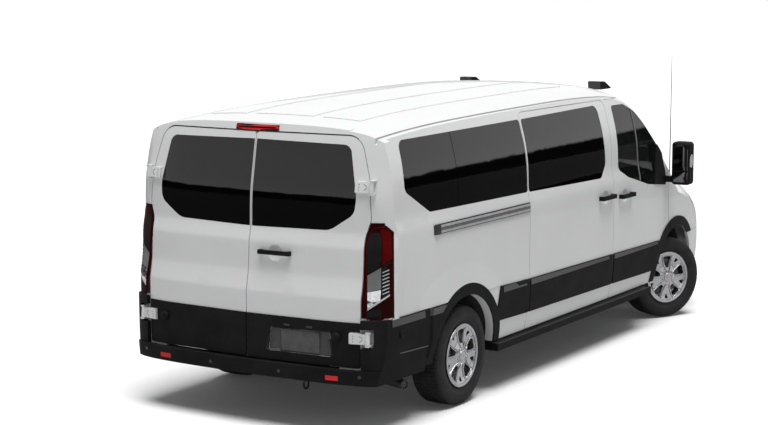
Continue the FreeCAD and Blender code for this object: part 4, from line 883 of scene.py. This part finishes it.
def headlamps():
    for side, flip in SIDES:
        laid_on("headlamp_bezel_" + side, ["headlamps"], LAMP_BEZEL, from_corner, 0.0012, 0.003,
                black_gloss, "root", step=0.035, mirror=flip)
        for k, (u, v, radius) in enumerate(((1.36, 0.865, 0.052), (1.505, 0.83, 0.044))):
            place, normal = met(["headlamps"], from_corner, u, v)
            if flip:
                place, normal = flipped(place), flipped(normal)
            lathe("headlamp_ring_%d_%s" % (k, side),
                  [(radius - 0.008, -0.001), (radius, -0.001), (radius + 0.002, 0.0035),
                   (radius - 0.003, 0.0060), (radius - 0.009, 0.0035)],
                  place, normal, 40, chrome, "root")
            lathe("headlamp_eye_%d_%s" % (k, side),
                  [(0.0005, -0.001), (radius - 0.010, -0.001), (radius - 0.012, 0.0035),
                   (radius * 0.5, 0.0065), (0.0005, 0.0075)],
                  place, normal, 40, clear_lens, "root")
        for i, ((u0, v0), (u1, v1)) in enumerate(zip(LAMP_LINE, LAMP_LINE[1:])):
            strip = [(u0, v0), (u1, v1), (u1, v1 + 0.012), (u0, v0 + 0.012)]
            laid_on("headlamp_line_%d_%s" % (i, side), ["headlamps"], strip, from_corner, 0.0030, 0.003,
                    clear_lens, "root", mirror=flip)


INTAKE_STEPS = 24
SCREEN_SEARCH, SCREEN_STEP = 2.13, 0.005


def nose_x(y):
    """How far forward the bumper reaches above the intake, at this distance from the middle."""
    return hit(["front_bumper"], *from_front(y, 0.62))[0].x


def intake():
    """Closed panel and bars inside the low opening of the bumper."""
    points = []
    for i in range(INTAKE_STEPS + 1):
        y = -0.53 + 1.06 * i / INTAKE_STEPS
        x = nose_x(y) - 0.05
        points += [(x, y, 0.350), (x, y, 0.552), (x - 0.004, y, 0.552), (x - 0.004, y, 0.350)]
    add_mesh("intake_panel", points, ring_faces(INTAKE_STEPS + 1, 4, False), underbody, "root")
    places = [-0.51 + 0.06 * i for i in range(18)]
    for k in range(5):
        bar = [(nose_x(y) - 0.034, y, 0.390 + 0.031 * k) for y in places]
        tube("intake_bar_%d" % k, bar, 0.0065, black_trim, "root")
    for k in range(-5, 6):
        x = nose_x(0.09 * k) - 0.037
        tube("intake_post_%d" % (k + 5), [(x, 0.09 * k, 0.352), (x, 0.09 * k, 0.550)], 0.005, black_trim,
             "root")


def fog_lamps():
    for side, y in (("right", -0.74), ("left", 0.74)):
        bezel = [(y - 0.085, 0.43), (y - 0.06, 0.395), (y + 0.06, 0.395), (y + 0.085, 0.43),
                 (y + 0.07, 0.515), (y - 0.07, 0.515)]
        laid_on("fog_bezel_" + side, ["front_bumper"], bezel, from_front, 0.002, 0.004, black_trim,
                "root", step=0.02)
        place, normal = met(["front_bumper"], from_front, y, 0.455)
        lathe("fog_ring_" + side,
              [(0.036, 0.001), (0.044, 0.001), (0.045, 0.006), (0.040, 0.009), (0.036, 0.006)],
              place, normal, 36, black_gloss, "root")
        lathe("fog_lens_" + side,
              [(0.0005, 0.001), (0.037, 0.001), (0.035, 0.005), (0.018, 0.008), (0.0005, 0.009)],
              place, normal, 36, clear_lens, "root")


def screen_base(y):
    """Lowest place of the windscreen's front face at this distance from the middle."""
    x = SCREEN_SEARCH
    while hit(["windscreen"], *from_above(x, y)) is None:
        x -= SCREEN_STEP
    return x


def over_screen(x, y, lift):
    place, normal = met(["windscreen"], from_above, x, y)
    return place + normal * lift


def wipers():
    rise = Vector((0.010, 0, 0.020))
    for label, y0, y1, pivot in (("right", -0.66, -0.08, -0.60), ("left", 0.06, 0.70, 0.12)):
        ys = [y0 + (y1 - y0) * i / 12 for i in range(13)]
        blade = [over_screen(screen_base(y) - 0.075, y, 0.009) for y in ys]
        tube("wiper_blade_" + label, blade, 0.006, rubber, "root")
        middle = blade[6]
        foot = over_screen(screen_base(pivot) - 0.012, pivot, 0.012)
        arm = [foot, foot.lerp(middle, 0.3) + rise, foot.lerp(middle, 0.8) + rise, middle + rise * 0.3]
        tube("wiper_arm_" + label, arm, 0.007, black_trim, "root")
        lathe("wiper_hub_" + label, [(0.0005, -0.012), (0.020, -0.012), (0.018, 0.006), (0.0005, 0.010)],
              foot, (0.45, 0, 0.89), 24, black_trim, "root")


def dash_fittings():
    node = ["dashboard"]
    laid_on("dash_screen", node, rectangle(-0.12, 1.035, 0.12, 1.135), from_behind, 0.008, 0.012,
            black_gloss, "root", step=0.04)
    for k, y in enumerate((-0.72, -0.20, 0.20)):
        laid_on("dash_vent_%d" % k, node, rectangle(y - 0.055, 1.06, y + 0.055, 1.12), from_behind,
                0.003, 0.006, black_trim, "root")
        for i in range(4):
            z = 1.068 + 0.013 * i
            laid_on("dash_vane_%d_%d" % (k, i), node, rectangle(y - 0.05, z, y + 0.05, z + 0.004),
                    from_behind, 0.006, 0.005, mid_grey, "root", step=0.05)
    laid_on("dash_locker", node, rectangle(-0.66, 0.87, -0.26, 1.00), from_behind, 0.004, 0.006, dash,
            "root", step=0.05)
    for i in range(3):
        place, normal = met(node, from_behind, -0.07 + 0.07 * i, 0.975)
        lathe("dash_knob_%d" % i, [(0.0005, 0.0), (0.020, 0.0), (0.017, 0.016), (0.0005, 0.018)], place,
              normal, 28, black_satin, "root")
    block("gauge_hood", (1.545, 0.285, 1.150), (1.660, 0.575, 1.212), dash, "root",
          0.022)


tail_lamps()
rear_details()
door_edges()
slide_rail()
side_fittings()
cladding_ledges()
arch_filler()
board_ribs()
cover_details()
rear_fittings()
seats()
headlamps()
intake()
fog_lamps()
wipers()
dash_fittings()


# Studio: a pale floor that keeps the shadow, soft light and a world that is white to the camera

FLOOR_NEAR = 10.0
SKY = 0.20


def grey(value):
    return value, value, value, 1


def far_floor(tree, shader):
    """Beyond FLOOR_NEAR from the middle the floor looks dark in reflections, as the unlit end of
    a studio does."""
    new = tree.nodes.new
    place, length = new("ShaderNodeTexCoord"), new("ShaderNodeVectorMath")
    length.operation = "LENGTH"
    far, both = new("ShaderNodeMath"), new("ShaderNodeMath")
    far.operation = "GREATER_THAN"
    far.inputs[1].default_value = FLOOR_NEAR
    both.operation = "MULTIPLY"
    path, shown, mix = new("ShaderNodeLightPath"), new("ShaderNodeMix"), new("ShaderNodeMix")
    shown.data_type = mix.data_type = "RGBA"
    shown.inputs[6].default_value = grey(0.50)
    shown.inputs[7].default_value = grey(0.96)
    mix.inputs[7].default_value = grey(0.01)
    link(path, "Is Camera Ray", shown, 0)
    link(shown, 2, mix, 6)
    link(place, "Object", length, 0)
    link(length, "Value", far, 0)
    link(far, "Value", both, 0)
    link(path, "Is Glossy Ray", both, 1)
    link(both, "Value", mix, 0)
    link(mix, 2, shader, "Base Color")


def lay_floor():
    bpy.ops.mesh.primitive_plane_add(size=120, location=(0, 0, 0))
    floor = bpy.context.object
    floor.name = "floor"
    material = bpy.data.materials.new("floor")
    material.use_nodes = True
    shader = material.node_tree.nodes["Principled BSDF"]
    shader.inputs["Roughness"].default_value = 0.9
    shader.inputs["Specular IOR Level"].default_value = 0.1
    shader.inputs["Emission Color"].default_value = grey(1)
    shader.inputs["Emission Strength"].default_value = 0.03
    far_floor(material.node_tree, shader)
    floor.data.materials.append(material)


def sky():
    """White to the camera, a soft ramp in reflections and SKY's light for everything else."""
    world = bpy.data.worlds.new("studio")
    bpy.context.scene.world = world
    world.use_nodes = True
    world.node_tree.nodes.clear()
    new = world.node_tree.nodes.new
    out, path = new("ShaderNodeOutputWorld"), new("ShaderNodeLightPath")
    light, shown, seen = [new("ShaderNodeBackground") for _ in range(3)]
    light.inputs["Color"].default_value = (0.97, 0.98, 1.0, 1)
    light.inputs["Strength"].default_value = SKY
    shown.inputs["Color"].default_value = grey(1)
    place, split = new("ShaderNodeTexCoord"), new("ShaderNodeSeparateXYZ")
    ramp = new("ShaderNodeValToRGB")
    ramp.color_ramp.elements[0].position = 0.045
    ramp.color_ramp.elements[0].color = grey(0.01)
    ramp.color_ramp.elements[1].position = 0.055
    ramp.color_ramp.elements[1].color = grey(1)
    ramp.color_ramp.elements.new(0.45).color = grey(0.75)
    gloss, mix = new("ShaderNodeMixShader"), new("ShaderNodeMixShader")
    link(place, "Generated", split, "Vector")
    link(split, "Z", ramp, "Fac")
    link(ramp, "Color", seen, "Color")
    link(path, "Is Glossy Ray", gloss, "Fac")
    link(light, "Background", gloss, 1)
    link(seen, "Background", gloss, 2)
    link(path, "Is Camera Ray", mix, "Fac")
    link(gloss, "Shader", mix, 1)
    link(shown, "Background", mix, 2)
    link(mix, "Shader", out, "Surface")


def soft_sun(name, direction, strength, angle):
    lamp = bpy.data.lights.new(name, "SUN")
    lamp.energy = strength
    lamp.angle = math.radians(angle)
    piece = bpy.data.objects.new(name, lamp)
    piece.rotation_euler = Vector(direction).to_track_quat("-Z", "Y").to_euler()
    bpy.context.scene.collection.objects.link(piece)


def camera():
    """Camera of the photograph."""
    lens = bpy.data.cameras.new("camera")
    lens.sensor_width = 36.0
    lens.lens = lens.sensor_width * FOCAL / PHOTO_WIDTH
    piece = bpy.data.objects.new("camera", lens)
    piece.location = EYE
    piece.rotation_euler = AHEAD.to_track_quat("-Z", "Y").to_euler()
    bpy.context.scene.collection.objects.link(piece)
    bpy.context.scene.camera = piece


lay_floor()
sky()
soft_sun("key", direction=(0.10, 0.14, -1.0), strength=3.55, angle=40.0)
camera()
bpy.context.scene.view_settings.view_transform = "Standard"
